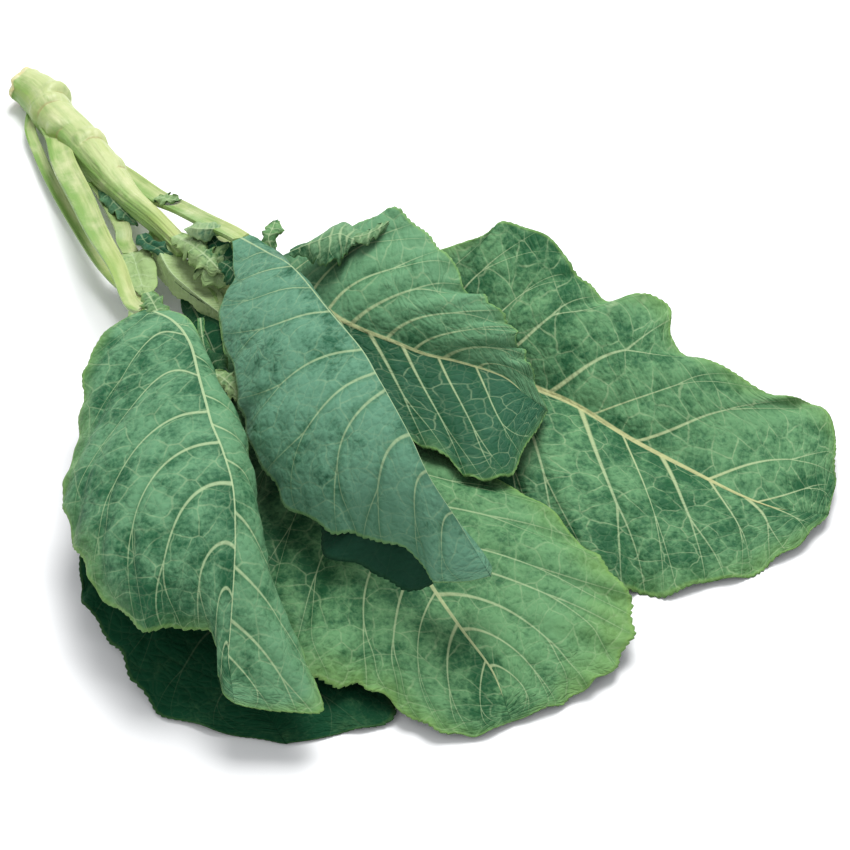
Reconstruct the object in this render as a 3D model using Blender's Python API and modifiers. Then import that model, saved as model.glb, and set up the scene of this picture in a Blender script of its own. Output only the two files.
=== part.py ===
"""A cut top of collard greens, lying on a table.

One thick pale stalk carries six long leaf stalks. Each ends in a large waved blade, and
the blades lie over one another in a loose stack. A few small torn leaves sit round the
growing end. The stalk rests on a small flat spot, and the lowest blades rest on their
edges.

A blade is worked out from three rails: its rib, its left edge and its right edge, as seen
by someone who looks from the stalk towards the tip. The three points of one row are
joined by the path of a side vein, so a row is a vein and a rail is a smooth curve.

The tables are in millimetres, measured from the point of the table that the leaves are
spread round; MIDDLE is the middle of the whole object there. The model is in metres, with
its origin under that middle, +Z up and +X towards the widest leaf.
"""
import bmesh
import bpy
import numpy as np
from mathutils import Vector

MM = 0.001
MIDDLE = (-19.0, 35.0, 0.0)

# Blades: the sheet, and how far from the rib its lower side is set straight down, mm; the
# share of a row over which the rib's tilt is read, with a little of the level direction, mm,
# so that it is never lost; and how much narrower the rib is at the tip
BLADE = 0.8
STRAIGHT = 3.0
RIB_SHARE = 0.07
LEVEL = 0.1
RIB_TAPER = 0.85
ROWS = 30
COLUMNS = 12
SMALL_ROWS = 12
SMALL_COLUMNS = 8

# Gap between two pieces that touch, and the merge distance, mm
GAP = 0.3
MERGE = 0.02

# How far along a curve its direction is measured, to each side
STEP = 0.001

# Stalk and leaf stalks: sides and rings
STALK_SIDES = 16
STALK_RINGS = 28
PETIOLE_SIDES = 10
PETIOLE_RINGS = 14
PETIOLE_ARCH = 0.75
LAST_STRETCH = 16.0

# Stalk: x, y, z of its middle and its radius, from the cut end to the growing end
STALK = [
    (-240.2, 275.6, 11.4, 12), (-226, 261, 11.6, 12.6), (-215, 240, 11.6, 12.6),
    (-199, 218, 13, 11.2), (-185, 193, 15, 11.0), (-168, 165, 17, 7.4),
    (-151, 141, 21, 6.2), (-139, 122, 24, 5.4), (-132, 109, 26, 4.6)]

# Scars where leaves came off: place along the stalk, angle round it in degrees, height mm
SCARS = [(0.13, 145, 2.0), (0.20, 60, 1.6), (0.30, 10, 1.6), (0.36, 100, 1.8), (0.52, 160, 1.0)]

# Blades: the rib's base, then rib, left edge and right edge, then the rib's end and the tip
LEAF_A = dict(
    rows=[
        [(-67, 77, 26)],
        [(-13, 44, 27), (20, 76, 60), (8, -30, 12)],
        [(4, 35, 26), (43, 86, 67), (33, -62, 8)],
        [(21, 25, 25), (73, 66, 61), (54, -85, 7)],
        [(39, 15, 24), (92, 42, 53), (73, -102, 6)],
        [(57, 4, 23), (123, 41, 50), (93, -115, 4)],
        [(78, -7, 21), (136, 13, 41), (110, -120, 3)],
        [(106, -29, 18), (178, -5, 28), (137, -115, 2)],
        [(135, -48, 15), (207, -2, 17), (163, -106, 3)],
        [(157, -62, 13), (211, -32, 12), (183, -93, 4)],
        [(173, -69, 11), (209, -52, 9), (196, -80, 7)],
        [(183, -70, 9), (204, -71, 7)],
    ],
    base=6.0, bulge=[(0, 0, 8), (0, 0, 6)], ruffle=(2.6, 2.4), waves=(5.3, 4.6))
LEAF_B = dict(
    rows=[
        [(-84, 76, 46)],
        [(-70, 54, 52), (-44, 74, 72), (-58, 13, 46)],
        [(-59, 39, 55), (-13, 70, 86), (-41, -22, 44)],
        [(-47, 24, 56), (8, 48, 80), (-22, -47, 42)],
        [(-35, 16, 55), (22, 29, 72), (-7, -51, 40)],
        [(-17, 8, 53), (36, 18, 66), (10, -60, 38)],
        [(-1, 2, 50), (46, 8, 60), (23, -73, 36)],
        [(17, -1, 47), (50, 2, 52), (41, -72, 35)],
        [(39, -6, 42), (56, -9, 42), (50, -50, 33)],
        [(50, -13, 37), (63, -21, 31)],
    ],
    base=5.0, bulge=[(0, 0, 7), (0, 4, -2)], ruffle=(2.6, 1.6), waves=(6.2, 5.4))
LEAF_C = dict(
    rows=[
        [(-98, 81, 60)],
        [(-82, 53, 74), (-70, 52, 66), (-100, 48, 60)],
        [(-67, 27, 86), (-56, 8, 64), (-106, 23, 58)],
        [(-47, -19, 98), (-50, -42, 60), (-95, -25, 57)],
        [(-31, -50, 102), (-50, -74, 54), (-88, -58, 54)],
        [(-23, -71, 104), (-50, -106, 47), (-71, -98, 52)],
        [(-17, -85, 103), (-47, -132, 42), (-45, -125, 53)],
        [(-7, -108, 100), (-26, -137, 40), (-25, -130, 56)],
        [(2, -128, 93), (-7, -148, 37), (-4, -145, 57)],
        [(15, -143, 80), (28, -144, 50), (7, -161, 56)],
        [(23, -152, 70), (31, -161, 61)],
    ],
    base=5.0, bulge=[(12, 6, 4), (-6, -3, 8)], ruffle=(1.6, 1.6), waves=(5.2, 6.4))
LEAF_D = dict(
    rows=[
        [(-146, 36, 50)],
        [(-130, 15, 61), (-122, 19, 58), (-167, 16, 50)],
        [(-119, -9, 68), (-110, -13, 61), (-174, -17, 46)],
        [(-112, -41, 75), (-99, -44, 61), (-173, -46, 42)],
        [(-107, -63, 78), (-89, -64, 58), (-177, -92, 40)],
        [(-103, -80, 80), (-87, -80, 56), (-167, -126, 41)],
        [(-97, -98, 81), (-85, -99, 54), (-154, -154, 43)],
        [(-91, -121, 80), (-80, -131, 50), (-131, -180, 46)],
        [(-89, -144, 74), (-71, -157, 41), (-110, -180, 48)],
        [(-89, -165, 66), (-57, -184, 31), (-98, -185, 45)],
        [(-90, -182, 54), (-48, -210, 24), (-96, -196, 39)],
        [(-91, -195, 44), (-67, -214, 27), (-94, -207, 34)],
        [(-90, -201, 39), (-88, -212, 30)],
    ],
    base=4.2, bulge=[(5, 0, 3), (-8, -4, 10)], ruffle=(1.2, 2.2), waves=(5.0, 6.6))
LEAF_E = dict(
    rows=[
        [(-105, 71, 24)],
        [(-70, 1, 28), (-20, -8, 27), (-97, -28, 24)],
        [(-48, -43, 29), (22, -54, 28), (-94, -89, 22)],
        [(-30, -76, 29), (58, -84, 27), (-79, -145, 19)],
        [(-15, -104, 28), (82, -112, 23), (-62, -182, 17)],
        [(-2, -127, 27), (100, -139, 15), (-38, -187, 15)],
        [(7, -143, 25), (95, -165, 9), (-19, -193, 12)],
        [(18, -160, 21), (79, -181, 6), (-1, -206, 7)],
        [(31, -177, 14), (62, -192, 4), (21, -210, 4)],
        [(37, -190, 8), (41, -201, 3)],
    ],
    base=8.0, bulge=[(0, 0, 5), (0, 0, 5)], ruffle=(1.8, 1.8), waves=(6.8, 6.2))
LEAF_F = dict(
    rows=[
        [(-156, 64, 18)],
        [(-152, 31, 16), (-135, 33, 15), (-166, 2, 15)],
        [(-146, -9, 14), (-114, -16, 12), (-170, -64, 18)],
        [(-134, -50, 12), (-91, -64, 10), (-169, -114, 20)],
        [(-120, -87, 11), (-67, -116, 8), (-165, -140, 14)],
        [(-107, -123, 10), (-40, -159, 6), (-148, -160, 10)],
        [(-95, -154, 9), (-14, -196, 3), (-131, -190, 4)],
        [(-83, -184, 8), (-38, -206, 1.4), (-104, -204, 2)],
        [(-75, -198, 6), (-65, -213, 1.4)],
    ],
    base=4.0, bulge=[(0, 0, 2), (0, 0, 4)], ruffle=(1.0, 2.0), waves=(5.2, 5.6))

# The small leaf whose blade has shrunk to a pale stub
LEAF_STUB = dict(
    rows=[
        [(-163, 119, 16)],
        [(-160, 110, 19), (-151, 112, 22), (-167, 105, 22)],
        [(-156, 95, 19), (-146, 91, 20), (-163, 88, 22)],
        [(-153, 82, 22), (-151, 75, 22)],
    ],
    base=4.6, bulge=[(0, 0, 2), (0, 0, 2)], ruffle=(1.0, 1.0), waves=(1.6, 1.4))

# Each leaf with a stalk of its own: its table, and its stalk's points before the last
# stretch, as x, y, z and half width
LEAVES = {
    "right": (LEAF_A, [(-127, 110, 24, 4.0), (-116, 106, 24, 5.0), (-99, 97, 25, 5.6)]),
    "back": (LEAF_B, [(-131, 117, 29, 4.0), (-121, 114, 33, 4.6), (-107, 104, 38, 5.0)]),
    "top": (LEAF_C, [
        (-186, 204, 12, 4.6), (-171, 189, 13, 5.4), (-152, 166, 17, 5.6),
        (-137, 144, 28, 5.4), (-121, 117, 42, 5.2)]),
    "left": (LEAF_D, [
        (-219, 236, 12, 5.4), (-213, 216, 16, 6.4), (-206, 190, 20, 7.2),
        (-192, 152, 27, 7.0), (-179, 114, 34, 6.0), (-165, 78, 42, 4.8)]),
    "front": (LEAF_E, [
        (-148, 139, 20, 4.0), (-149, 126, 13, 6.0), (-141, 110, 13, 8.4), (-127, 95, 17, 9.4)]),
    "under": (LEAF_F, [
        (-231, 253, 10, 3.0), (-232, 238, 8, 3.2), (-225, 217, 7, 3.4),
        (-214, 189, 8, 3.6), (-199, 156, 9, 3.8), (-182, 121, 11, 4.0), (-171, 102, 13, 4.0)]),
    "stub": (LEAF_STUB, [(-189, 184, 13, 3.4), (-179, 166, 11, 4.2), (-170, 145, 12, 4.6)]),
}
STUBS = ("stub",)

# Small leaves that sit close round the growing end, in the same form; two grow from the stalk
ON_STALK = ("sprout_pale", "sprout_low")
SPROUTS = {
    "sprout_pale": dict(
        rows=[
            [(-129, 108, 30)],
            [(-120, 93, 36), (-111, 98, 40), (-126, 88, 34)],
            [(-113, 83, 38), (-103, 88, 42), (-119, 76, 33)],
            [(-107, 77, 36), (-102, 72, 33)],
        ],
        base=3.0, bulge=[(0, 0, 4), (0, 0, 3)], ruffle=(2.6, 2.6), waves=(2.4, 3.1)),
    "sprout_dark": dict(
        rows=[
            [(-81, 75, 56)],
            [(-83, 80, 60), (-87, 82, 59), (-79, 80, 61)],
            [(-81, 86, 62), (-85, 88, 61), (-76, 85, 62)],
            [(-80, 94, 61), (-79, 96, 60)],
        ],
        base=2.0, bulge=[(0, 0, 1), (0, 0, 1)], ruffle=(1.2, 1.2), waves=(2.7, 2.2)),
    "sprout_low": dict(
        rows=[
            [(-158, 130, 20)],
            [(-154, 119, 23), (-149, 120, 25), (-158, 117, 24)],
            [(-146, 111, 25), (-141, 111, 26), (-149, 108, 25)],
            [(-141, 108, 23), (-138, 106, 23)],
        ],
        base=2.0, bulge=[(0, 0, 2), (0, 0, 2)], ruffle=(1.4, 1.4), waves=(2.3, 1.7)),
    "sprout_between": dict(
        rows=[
            [(-120, 55, 26)],
            [(-116, 27, 32), (-114, 29, 31), (-118, 27, 31)],
            [(-110, 4, 38), (-102, 5, 40), (-114, 1, 37)],
            [(-103, -20, 42), (-95, -17, 42), (-110, -20, 37)],
            [(-96, -38, 42), (-88, -41, 42), (-102, -45, 37)],
            [(-91, -51, 40), (-88, -57, 38)],
        ],
        base=1.6, bulge=[(0, 0, 3), (0, 0, 3)], ruffle=(1.8, 1.8), waves=(3.6, 3.2)),
}


def curve_through(points, at):
    """Catmull-Rom curve through rows of numbers, read at places 0 to the last row."""
    points = np.asarray(points, float)
    last = len(points) - 1
    start = np.clip(np.floor(at).astype(int), 0, last - 1)
    part = (at - start)[:, None]
    before = points[np.maximum(start - 1, 0)]
    here = points[start]
    after = points[start + 1]
    beyond = points[np.minimum(start + 2, last)]
    straight = 2.0 * here + (after - before) * part
    bend = (2.0 * before - 5.0 * here + 4.0 * after - beyond) * part ** 2
    return 0.5 * (straight + bend + (3.0 * here - before - 3.0 * after + beyond) * part ** 3)


def place(points):
    """Table millimetres to metres from the object's own origin."""
    return (np.asarray(points, float) - MIDDLE) * MM


def unit(vectors):
    """Vectors at length 1."""
    length = np.linalg.norm(vectors, axis=-1, keepdims=True)
    return vectors / np.maximum(length, 1e-9)


def rails(leaf):
    """The table of a blade as rib, left and right points for every row.

    The base row runs square across the rib. The last row runs from the rib's end to the
    tip on both sides.
    """
    first, *middle, last = leaf["rows"]
    rib = np.array(first[0], float)
    ahead = unit(np.array(middle[0][0], float) - rib)
    side = unit(np.cross(ahead, (0.0, 0.0, 1.0))) * leaf["base"]
    rows = [[rib, rib - side, rib + side], *middle, [last[0], last[1], last[1]]]
    return np.array(rows, float)


def leaf_points(leaf, along, across):
    """Points of a blade in mm, for along 0..1 (base to tip) and across -1..1 (left to right).

    A row leaves the rib, lifts by a parabola of its side's bulge and ends on the edge.
    The outer part is waved up and down by two sines that grow as the cube of the distance
    from the rib, and in and out by a third.
    """
    rows = rails(leaf)
    flat = curve_through(rows.reshape(len(rows), 9), along * (len(rows) - 1))
    rib, left, right = flat[:, 0:3], flat[:, 3:6], flat[:, 6:9]
    on_left = (across < 0)[:, None]
    out = np.abs(across)
    edge = np.where(on_left, left, right)
    bulge = np.where(on_left, leaf["bulge"][0], leaf["bulge"][1])
    fade = np.abs(np.sin(np.pi * along)) ** 0.6
    swell = 4.0 * out * (1.0 - out) * np.sin(np.pi * along) ** 2
    points = rib + (edge - rib) * out[:, None] + bulge * swell[:, None]
    side = (across > 0).astype(int)
    turn = 2.0 * np.pi * np.take(leaf["waves"], side) * along + 2.0 * side
    wave = np.sin(turn) + 0.5 * np.sin(2.3 * turn + 1.0)
    points[:, 2] += np.take(leaf["ruffle"], side) * fade * out ** 3 * wave
    reach = np.take(leaf["ruffle"], side) * 0.6 * fade * out ** 2 * np.sin(1.7 * turn + 0.6)
    points += unit(edge - rib) * reach[:, None]
    points[:, 2] = np.maximum(points[:, 2], BLADE)
    return points


def rib_drop(leaf, along, from_rib):
    """How far the rib hangs below the sheet, in mm, and the direction it hangs in.

    A half oval as wide as the leaf's stalk at the base, which thins towards the tip, and
    points away from the row's own upper side.
    """
    here = np.zeros_like(along)
    ahead = leaf_points(leaf, np.minimum(along + STEP, 1.0), here)
    ahead = unit(ahead - leaf_points(leaf, np.maximum(along - STEP, 0.0), here))
    across = leaf_points(leaf, along, here + RIB_SHARE) - leaf_points(leaf, along, here - RIB_SHARE)
    across += np.cross(ahead, (0.0, 0.0, 1.0)) * LEVEL
    width = leaf["base"] * (1.0 - RIB_TAPER * along)
    share = np.sqrt(np.maximum(0.0, 1.0 - (from_rib / width) ** 2))
    depth = np.maximum((PETIOLE_ARCH * width - BLADE) * share, 0.0)
    return depth, unit(np.cross(ahead, unit(across)))


def tube_points(path, along, around, section):
    """Points of a tube in mm round a path of x, y, z and size, for around 0..1.

    A ring stands square to the path, with its angle counted from the right side through
    the top; section turns along, angle and size into the distance out and up.
    """
    last = len(path) - 1
    spot = curve_through(path, along * last)
    ahead = curve_through(path, np.minimum(along + STEP, 1.0) * last)[:, 0:3]
    forward = unit(ahead - curve_through(path, np.maximum(along - STEP, 0.0) * last)[:, 0:3])
    right = unit(np.cross(forward, (0.0, 0.0, 1.0)))
    up = np.cross(right, forward)
    out, height = section(along, 2.0 * np.pi * around, spot[:, 3])
    return spot[:, 0:3] + right * out[:, None] + up * height[:, None]


def stalk_section(along, angle, size):
    """A circle with a low ring and a bump at each leaf scar, and a slightly spread cut end."""
    radius = size * (1.0 + 0.05 * np.exp(-(along / 0.02) ** 2))
    for at, degrees, height in SCARS:
        facing = 0.5 + 0.5 * np.cos(angle - np.radians(degrees))
        radius = radius + height * np.exp(-((along - at) / 0.022) ** 2) * (0.25 + 0.75 * facing ** 2)
    return radius * np.cos(angle), radius * np.sin(angle)


def petiole_section(_along, angle, size):
    """Round below, with a shallow channel between two rims on top; the path runs in it."""
    low = np.minimum(np.sin(angle), 0.0) * PETIOLE_ARCH
    top = np.maximum(np.sin(angle), 0.0)
    rim = 0.42 * (np.sqrt(top) - np.sin(angle) ** 2)
    return size * np.cos(angle), size * (low + np.where(top > 0.0, rim, 0.0))


def material(name, colour, roughness):
    """A plain Principled material."""
    made = bpy.data.materials.new(name)
    made.use_nodes = True
    shader = made.node_tree.nodes["Principled BSDF"]
    shader.inputs["Base Color"].default_value = (*colour, 1.0)
    shader.inputs["Roughness"].default_value = roughness
    made.diffuse_color = (*colour, 1.0)
    return made


def add(name, mesh, finish, collection="collard_greens"):
    """Put a mesh into a collection under its own name."""
    obj = bpy.data.objects.new(name, mesh)
    mesh.materials.append(finish)
    mesh.shade_smooth()
    bpy.data.collections[collection].objects.link(obj)
    return obj


def shaped_grid(rows, columns, shape, keep=()):
    """A grid primitive whose points are moved by shape(along, across).

    keep names further numbers that shape returns, which are stored on the points.
    """
    grid = bmesh.new()
    bmesh.ops.create_grid(grid, x_segments=columns, y_segments=rows, size=1.0)
    flat = np.array([vertex.co[:] for vertex in grid.verts])
    placed, *numbers = shape((flat[:, 1] + 1.0) / 2.0, flat[:, 0])
    for vertex, spot in zip(grid.verts, placed):
        vertex.co = Vector(spot)
    for name, values in zip(keep, numbers):
        layer = grid.verts.layers.float.new(name)
        for vertex, value in zip(grid.verts, values):
            vertex[layer] = value
    bmesh.ops.remove_doubles(grid, verts=grid.verts, dist=MERGE * MM)
    return grid


def finish_mesh(grid, name):
    """Split every face into triangles and turn the grid into a mesh."""
    bmesh.ops.triangulate(grid, faces=grid.faces)
    mesh = bpy.data.meshes.new(name)
    grid.to_mesh(mesh)
    grid.free()
    return mesh


def tube(name, path, section, rings, sides, finish, collection="collard_greens"):
    """A closed tube along a path; nothing of it lies below the table."""
    def shape(along, across):
        points = tube_points(path, along, (across + 1.0) / 2.0, section)
        points[:, 2] = np.maximum(points[:, 2], 0.0)
        return (place(points),)

    grid = shaped_grid(rings, sides, shape)
    bmesh.ops.holes_fill(grid, edges=[edge for edge in grid.edges if edge.is_boundary])
    bmesh.ops.recalc_face_normals(grid, faces=grid.faces)
    return add(name, finish_mesh(grid, name), finish, collection)


def blade(name, leaf, finish, rows=ROWS, columns=COLUMNS):
    """One leaf blade: a waved sheet, with its rib standing out below."""
    step = 2.0 / columns

    def shape(along, across):
        """The sheet, its first column close beside the rib, and how its rib hangs down."""
        out = np.abs(across)
        near = out / step * RIB_SHARE
        far = RIB_SHARE + (out - step) / (1.0 - step) * (1.0 - RIB_SHARE)
        out = np.where(out < step, near, far)
        points = leaf_points(leaf, along, np.sign(across) * out)
        from_rib = np.linalg.norm(points - leaf_points(leaf, along, 0.0 * across), axis=1)
        depth, down = rib_drop(leaf, along, from_rib)
        straight = np.where(along == 0.0, 1.0, np.exp(-(from_rib / STRAIGHT) ** 2))
        return place(points), *down.T, depth, straight

    kept = ("x", "y", "z", "depth", "straight")
    sheet = shaped_grid(rows, columns, shape, kept)
    layers = [sheet.verts.layers.float[key] for key in kept]
    numbers = np.array([[vertex[layer] for layer in layers] for vertex in sheet.verts])
    down, depth, straight = numbers[:, 0:3], numbers[:, 3:4], numbers[:, 4:5]
    obj = add(name, finish_mesh(sheet, name), finish)
    wall = obj.modifiers.new("wall", "SOLIDIFY")
    wall.thickness = BLADE * MM
    wall.offset = -1.0
    thick = bpy.data.meshes.new_from_object(obj.evaluated_get(bpy.context.evaluated_depsgraph_get()))
    obj.modifiers.remove(wall)
    places = np.empty(len(thick.vertices) * 3)
    thick.vertices.foreach_get("co", places)
    upper, lower = places.reshape(2, -1, 3)
    lower += (upper + down * BLADE * MM - lower) * straight
    lower += down * depth * MM
    thick.vertices.foreach_set("co", places.ravel())
    thick.update()
    obj.data = thick
    return obj


def cut(obj, cutter):
    """Take a cutter out of an object."""
    hole = obj.modifiers.new("room", "BOOLEAN")
    hole.operation = "DIFFERENCE"
    hole.solver = "EXACT"
    hole.object = cutter


def stalk_room():
    """The stalk's path, a gap wider and longer all round."""
    path = np.array(STALK, float)
    path[0, 0:3] -= unit(path[1, 0:3] - path[0, 0:3]) * GAP
    path[-1, 0:3] += unit(path[-1, 0:3] - path[-2, 0:3]) * GAP
    path[:, 3] += GAP
    return path


def petiole_path(leaf, points):
    """A leaf stalk's points, ended by a last stretch in line with the blade's rib."""
    rib = np.array(leaf["rows"][0][0], float)
    ahead = unit(np.array(leaf["rows"][1][0], float) - rib)
    near = rib - ahead * LAST_STRETCH
    end = rib - ahead * GAP
    return [*points, (*near, leaf["base"]), (*end, leaf["base"])]


def main():
    """Clear the scene and build every piece."""
    for old in list(bpy.data.objects):
        bpy.data.objects.remove(old, do_unlink=True)
    for name in ("collard_greens", "cutters"):
        bpy.context.scene.collection.children.link(bpy.data.collections.new(name))

    pale = material("stalk_pale", (0.62, 0.71, 0.36), 0.45)
    petiole_green = material("petiole_green", (0.47, 0.60, 0.22), 0.45)
    green = material("leaf_green", (0.07, 0.22, 0.08), 0.5)

    tube("stalk", STALK, stalk_section, STALK_RINGS, STALK_SIDES, pale)
    room = tube("stalk_room", stalk_room(), stalk_section, STALK_RINGS, STALK_SIDES, pale, "cutters")
    room.hide_render = True
    room.display_type = "WIRE"

    for name, (leaf, points) in LEAVES.items():
        size = (SMALL_ROWS, SMALL_COLUMNS) if name in STUBS else (ROWS, COLUMNS)
        blade("blade_" + name, leaf, green, *size)
        path = petiole_path(leaf, points)
        piece = tube(
            "petiole_" + name, path, petiole_section, PETIOLE_RINGS, PETIOLE_SIDES, petiole_green)
        cut(piece, room)
    for name, leaf in SPROUTS.items():
        piece = blade(name, leaf, green, SMALL_ROWS, SMALL_COLUMNS)
        if name in ON_STALK:
            cut(piece, room)


main()
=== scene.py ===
"""The finished look of a cut top of collard greens, lying on a pale surface.

A blade is a fine sheet on the same three rails as the plain solid it stands for. Its side
veins, their forks and the puckers between them are raised by formula. The colours follow
the same veins, with a net of small veins, a waxy bloom whose wax patches add painted sheen,
and a yellow margin. Painted light and shade lighten or darken each side of a rib, and darken
some whole leaves, the blades' lower sides and the stalks' lower sides.

Tables are in millimetres from the point of the table that the leaves are spread round;
MIDDLE is the middle of the whole object there. The finished pieces are in metres.
"""

import bpy
import numpy as np
from bpy.props import FloatProperty, FloatVectorProperty, IntProperty, PointerProperty
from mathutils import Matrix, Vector


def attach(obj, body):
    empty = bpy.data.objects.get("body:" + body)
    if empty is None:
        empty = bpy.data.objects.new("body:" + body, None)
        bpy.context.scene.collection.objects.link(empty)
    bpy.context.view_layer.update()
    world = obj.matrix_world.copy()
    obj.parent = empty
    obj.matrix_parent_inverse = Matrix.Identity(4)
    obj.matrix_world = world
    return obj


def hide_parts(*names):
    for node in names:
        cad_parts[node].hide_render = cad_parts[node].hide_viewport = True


bl_info = {
    "name": "Collard greens",
    "version": (1, 0, 0),
    "blender": (4, 5, 0),
    "location": "3D View > Sidebar > Collards",
    "description": "Makes the finished blades, leaf stalks and stalk of a cut top of collard greens",
    "category": "Object",
}

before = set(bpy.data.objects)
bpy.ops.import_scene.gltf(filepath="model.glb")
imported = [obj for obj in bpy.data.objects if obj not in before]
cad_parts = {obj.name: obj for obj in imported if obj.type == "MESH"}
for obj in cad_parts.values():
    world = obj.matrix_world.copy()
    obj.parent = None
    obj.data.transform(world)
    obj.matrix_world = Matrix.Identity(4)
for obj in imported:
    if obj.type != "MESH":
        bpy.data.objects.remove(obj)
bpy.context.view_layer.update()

MM = 0.001
MIDDLE = (-19.0, 35.0, 0.0)
BODY = "root"

# Blades: the sheet's thickness, and how far from the rib its lower side is set straight down,
# mm; the share of a row over which the rib's tilt is read, with a little of the level
# direction, mm; and how much narrower the rib is at the tip
BLADE = 0.8
STRAIGHT = 3.0
RIB_SHARE = 0.07
LEVEL = 0.1
RIB_TAPER = 0.85

# Leaf stalks: their depth as a share of their half width, the last stretch in line with the
# rib, mm, and the share of a path over which its direction is read
PETIOLE_ARCH = 0.75
LAST_STRETCH = 16.0
STEP = 0.001

# Side veins: half width in mm at the rib and at the edge, how many rows they wander, and
# where on the way out they fork and how fast the two branches part
VEIN_NEAR = 0.95
VEIN_FAR = 0.22
WANDER = 0.10
FORK_AT = 0.58
FORK_SPREAD = 0.60

# Stalk: x, y, z of its middle and its radius, from the cut end to the growing end
STALK = [
    (-240.2, 275.6, 11.4, 12), (-226, 261, 11.6, 12.6), (-215, 240, 11.6, 12.6),
    (-199, 218, 13, 11.2), (-185, 193, 15, 11.0), (-168, 165, 17, 7.4),
    (-151, 141, 21, 6.2), (-139, 122, 24, 5.4), (-132, 109, 26, 4.6)]

# Makes far * (1 - far) ** 3 about 1 at its greatest, so that a vein's dip is in rows
DIP_PEAK = 9.5

# Relief of the blades, mm: the widest gap between veins that still adds to its rise, the sizes
# of slow lumps and of two kinds of pucker, how far from a vein and from the rib they are full,
# and the width of the rib's ridge above as a share of the rib's half width
ARCH_LIMIT = 34.0
SLOW_LUMP = 45.0
PUCKER = 17.0
FINE_PUCKER = 7.0
VEIN_CLEAR = 4.0
RIB_CLEAR = 9.0
RIDGE = 0.42

# Teeth of the blades' edges, mm: their distance apart, the half width of the rib from which
# they have their full length, and how much later the right edge's pattern starts
TOOTH_STEP = 3.7
TOOTH_BASE = 5.0
EDGE_SHIFT = 37.0

# The torn end: where along the stalk it lies, how much of the stalk's radius it has and how
# far it is domed, mm
CUT = 0.016
CUT_SHARE = 0.95
DOME = 5.0

# How far the stalks' skin pattern is drawn out along them
SKIN_STRETCH = 0.12

# Patterns of the blades: cells of the vein nets and waves of the tones, per metre
NET_WIDE, NET_FINE = 66.0, 190.0
PATCH, BLOTCH, SPECKLE = 14.0, 60.0, 420.0

# Half the floor's side, m, and the soft lamps: name, place and size in m
FLOOR_HALF = 6.0
LAMPS = (("key", (0.17, 0.55, 1.45), 0.9), ("fill", (-0.9, -0.9, 1.3), 1.4))

# Scars where leaves came off: place along the stalk, angle round it in degrees, height mm
SCARS = [(0.15, 148, 2.8), (0.20, 64, 1.8), (0.30, 12, 2.0), (0.40, 110, 2.2), (0.52, 160, 1.0)]

# Blades: the rib's base, then rib, left edge and right edge, then the rib's end and the tip.
# base is the rib's half width there and bulge lifts the left and the right side, mm. ruffle and
# waves are the height and the number of each edge's waves. veins are the left and right side
# veins: the row where each leaves the rib, the row where it meets the edge, and its strength;
# dip is how many rows they sag towards the base
LEAF_A = dict(
    rows=[
        [(-67, 77, 26)],
        [(-13, 44, 27), (20, 76, 60), (8, -30, 12)],
        [(4, 35, 26), (43, 86, 67), (33, -62, 8)],
        [(21, 25, 25), (73, 66, 61), (54, -85, 7)],
        [(39, 15, 24), (92, 42, 53), (73, -102, 6)],
        [(57, 4, 23), (123, 41, 50), (93, -115, 4)],
        [(78, -7, 21), (136, 13, 41), (110, -120, 3)],
        [(106, -29, 18), (178, -5, 28), (137, -115, 2)],
        [(135, -48, 15), (207, -2, 17), (163, -106, 3)],
        [(157, -62, 13), (211, -32, 12), (183, -93, 4)],
        [(173, -69, 11), (209, -52, 9), (196, -80, 7)],
        [(183, -70, 9), (204, -71, 7)],
    ],
    base=6.0, bulge=[(0, 0, 8), (0, 0, 6)], ruffle=(2.6, 2.4), waves=(5.3, 4.6),
    veins=[
        [(0.9, 1.3, 0.7), (1.8, 2.8, 0.9), (2.8, 3.4, 0.5), (3.7, 4.1, 1.2), (5.36, 6.0, 1.35),
         (6.3, 6.8, 0.6), (7.05, 7.6, 1.0), (8.35, 9.5, 0.9), (9.6, 10.2, 0.6)],
        [(0.9, 0.8, 0.7), (2.1, 1.9, 0.8), (3.2, 3.0, 0.8), (4.3, 3.9, 1.1), (6.1, 5.8, 1.3),
         (6.85, 6.4, 0.5), (7.5, 7.2, 1.15), (8.4, 7.9, 0.6), (9.3, 8.6, 0.9), (10.2, 9.8, 0.5)]],
    dip=(-0.1, 0.05))
LEAF_B = dict(
    rows=[
        [(-84, 76, 46)],
        [(-70, 54, 52), (-44, 74, 72), (-58, 13, 46)],
        [(-59, 39, 55), (-13, 70, 86), (-41, -22, 44)],
        [(-47, 24, 56), (8, 48, 80), (-22, -47, 42)],
        [(-35, 16, 55), (22, 29, 72), (-7, -51, 40)],
        [(-17, 8, 53), (36, 18, 66), (10, -60, 38)],
        [(-1, 2, 50), (46, 8, 60), (23, -73, 36)],
        [(17, -1, 47), (50, 2, 52), (41, -72, 35)],
        [(39, -6, 42), (56, -9, 42), (50, -50, 33)],
        [(50, -13, 37), (63, -21, 31)],
    ],
    base=5.0, bulge=[(0, 0, 7), (0, 4, -2)], ruffle=(2.6, 1.6), waves=(6.2, 5.4),
    veins=[
        [(0.9, 1.4, 0.9), (1.9, 2.5, 1.0), (2.72, 3.3, 1.0), (3.76, 4.1, 1.1), (4.85, 5.4, 0.9),
         (5.72, 6.1, 0.7), (6.64, 7.4, 1.0), (7.5, 8.2, 0.6)],
        [(1.2, 1.4, 0.7), (2.2, 2.4, 0.8), (3.2, 3.4, 0.9), (4.37, 4.8, 1.0), (5.33, 6.2, 0.9),
         (6.45, 6.9, 0.7), (7.4, 7.9, 0.6)]],
    dip=(0.12, 0.0))
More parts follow.
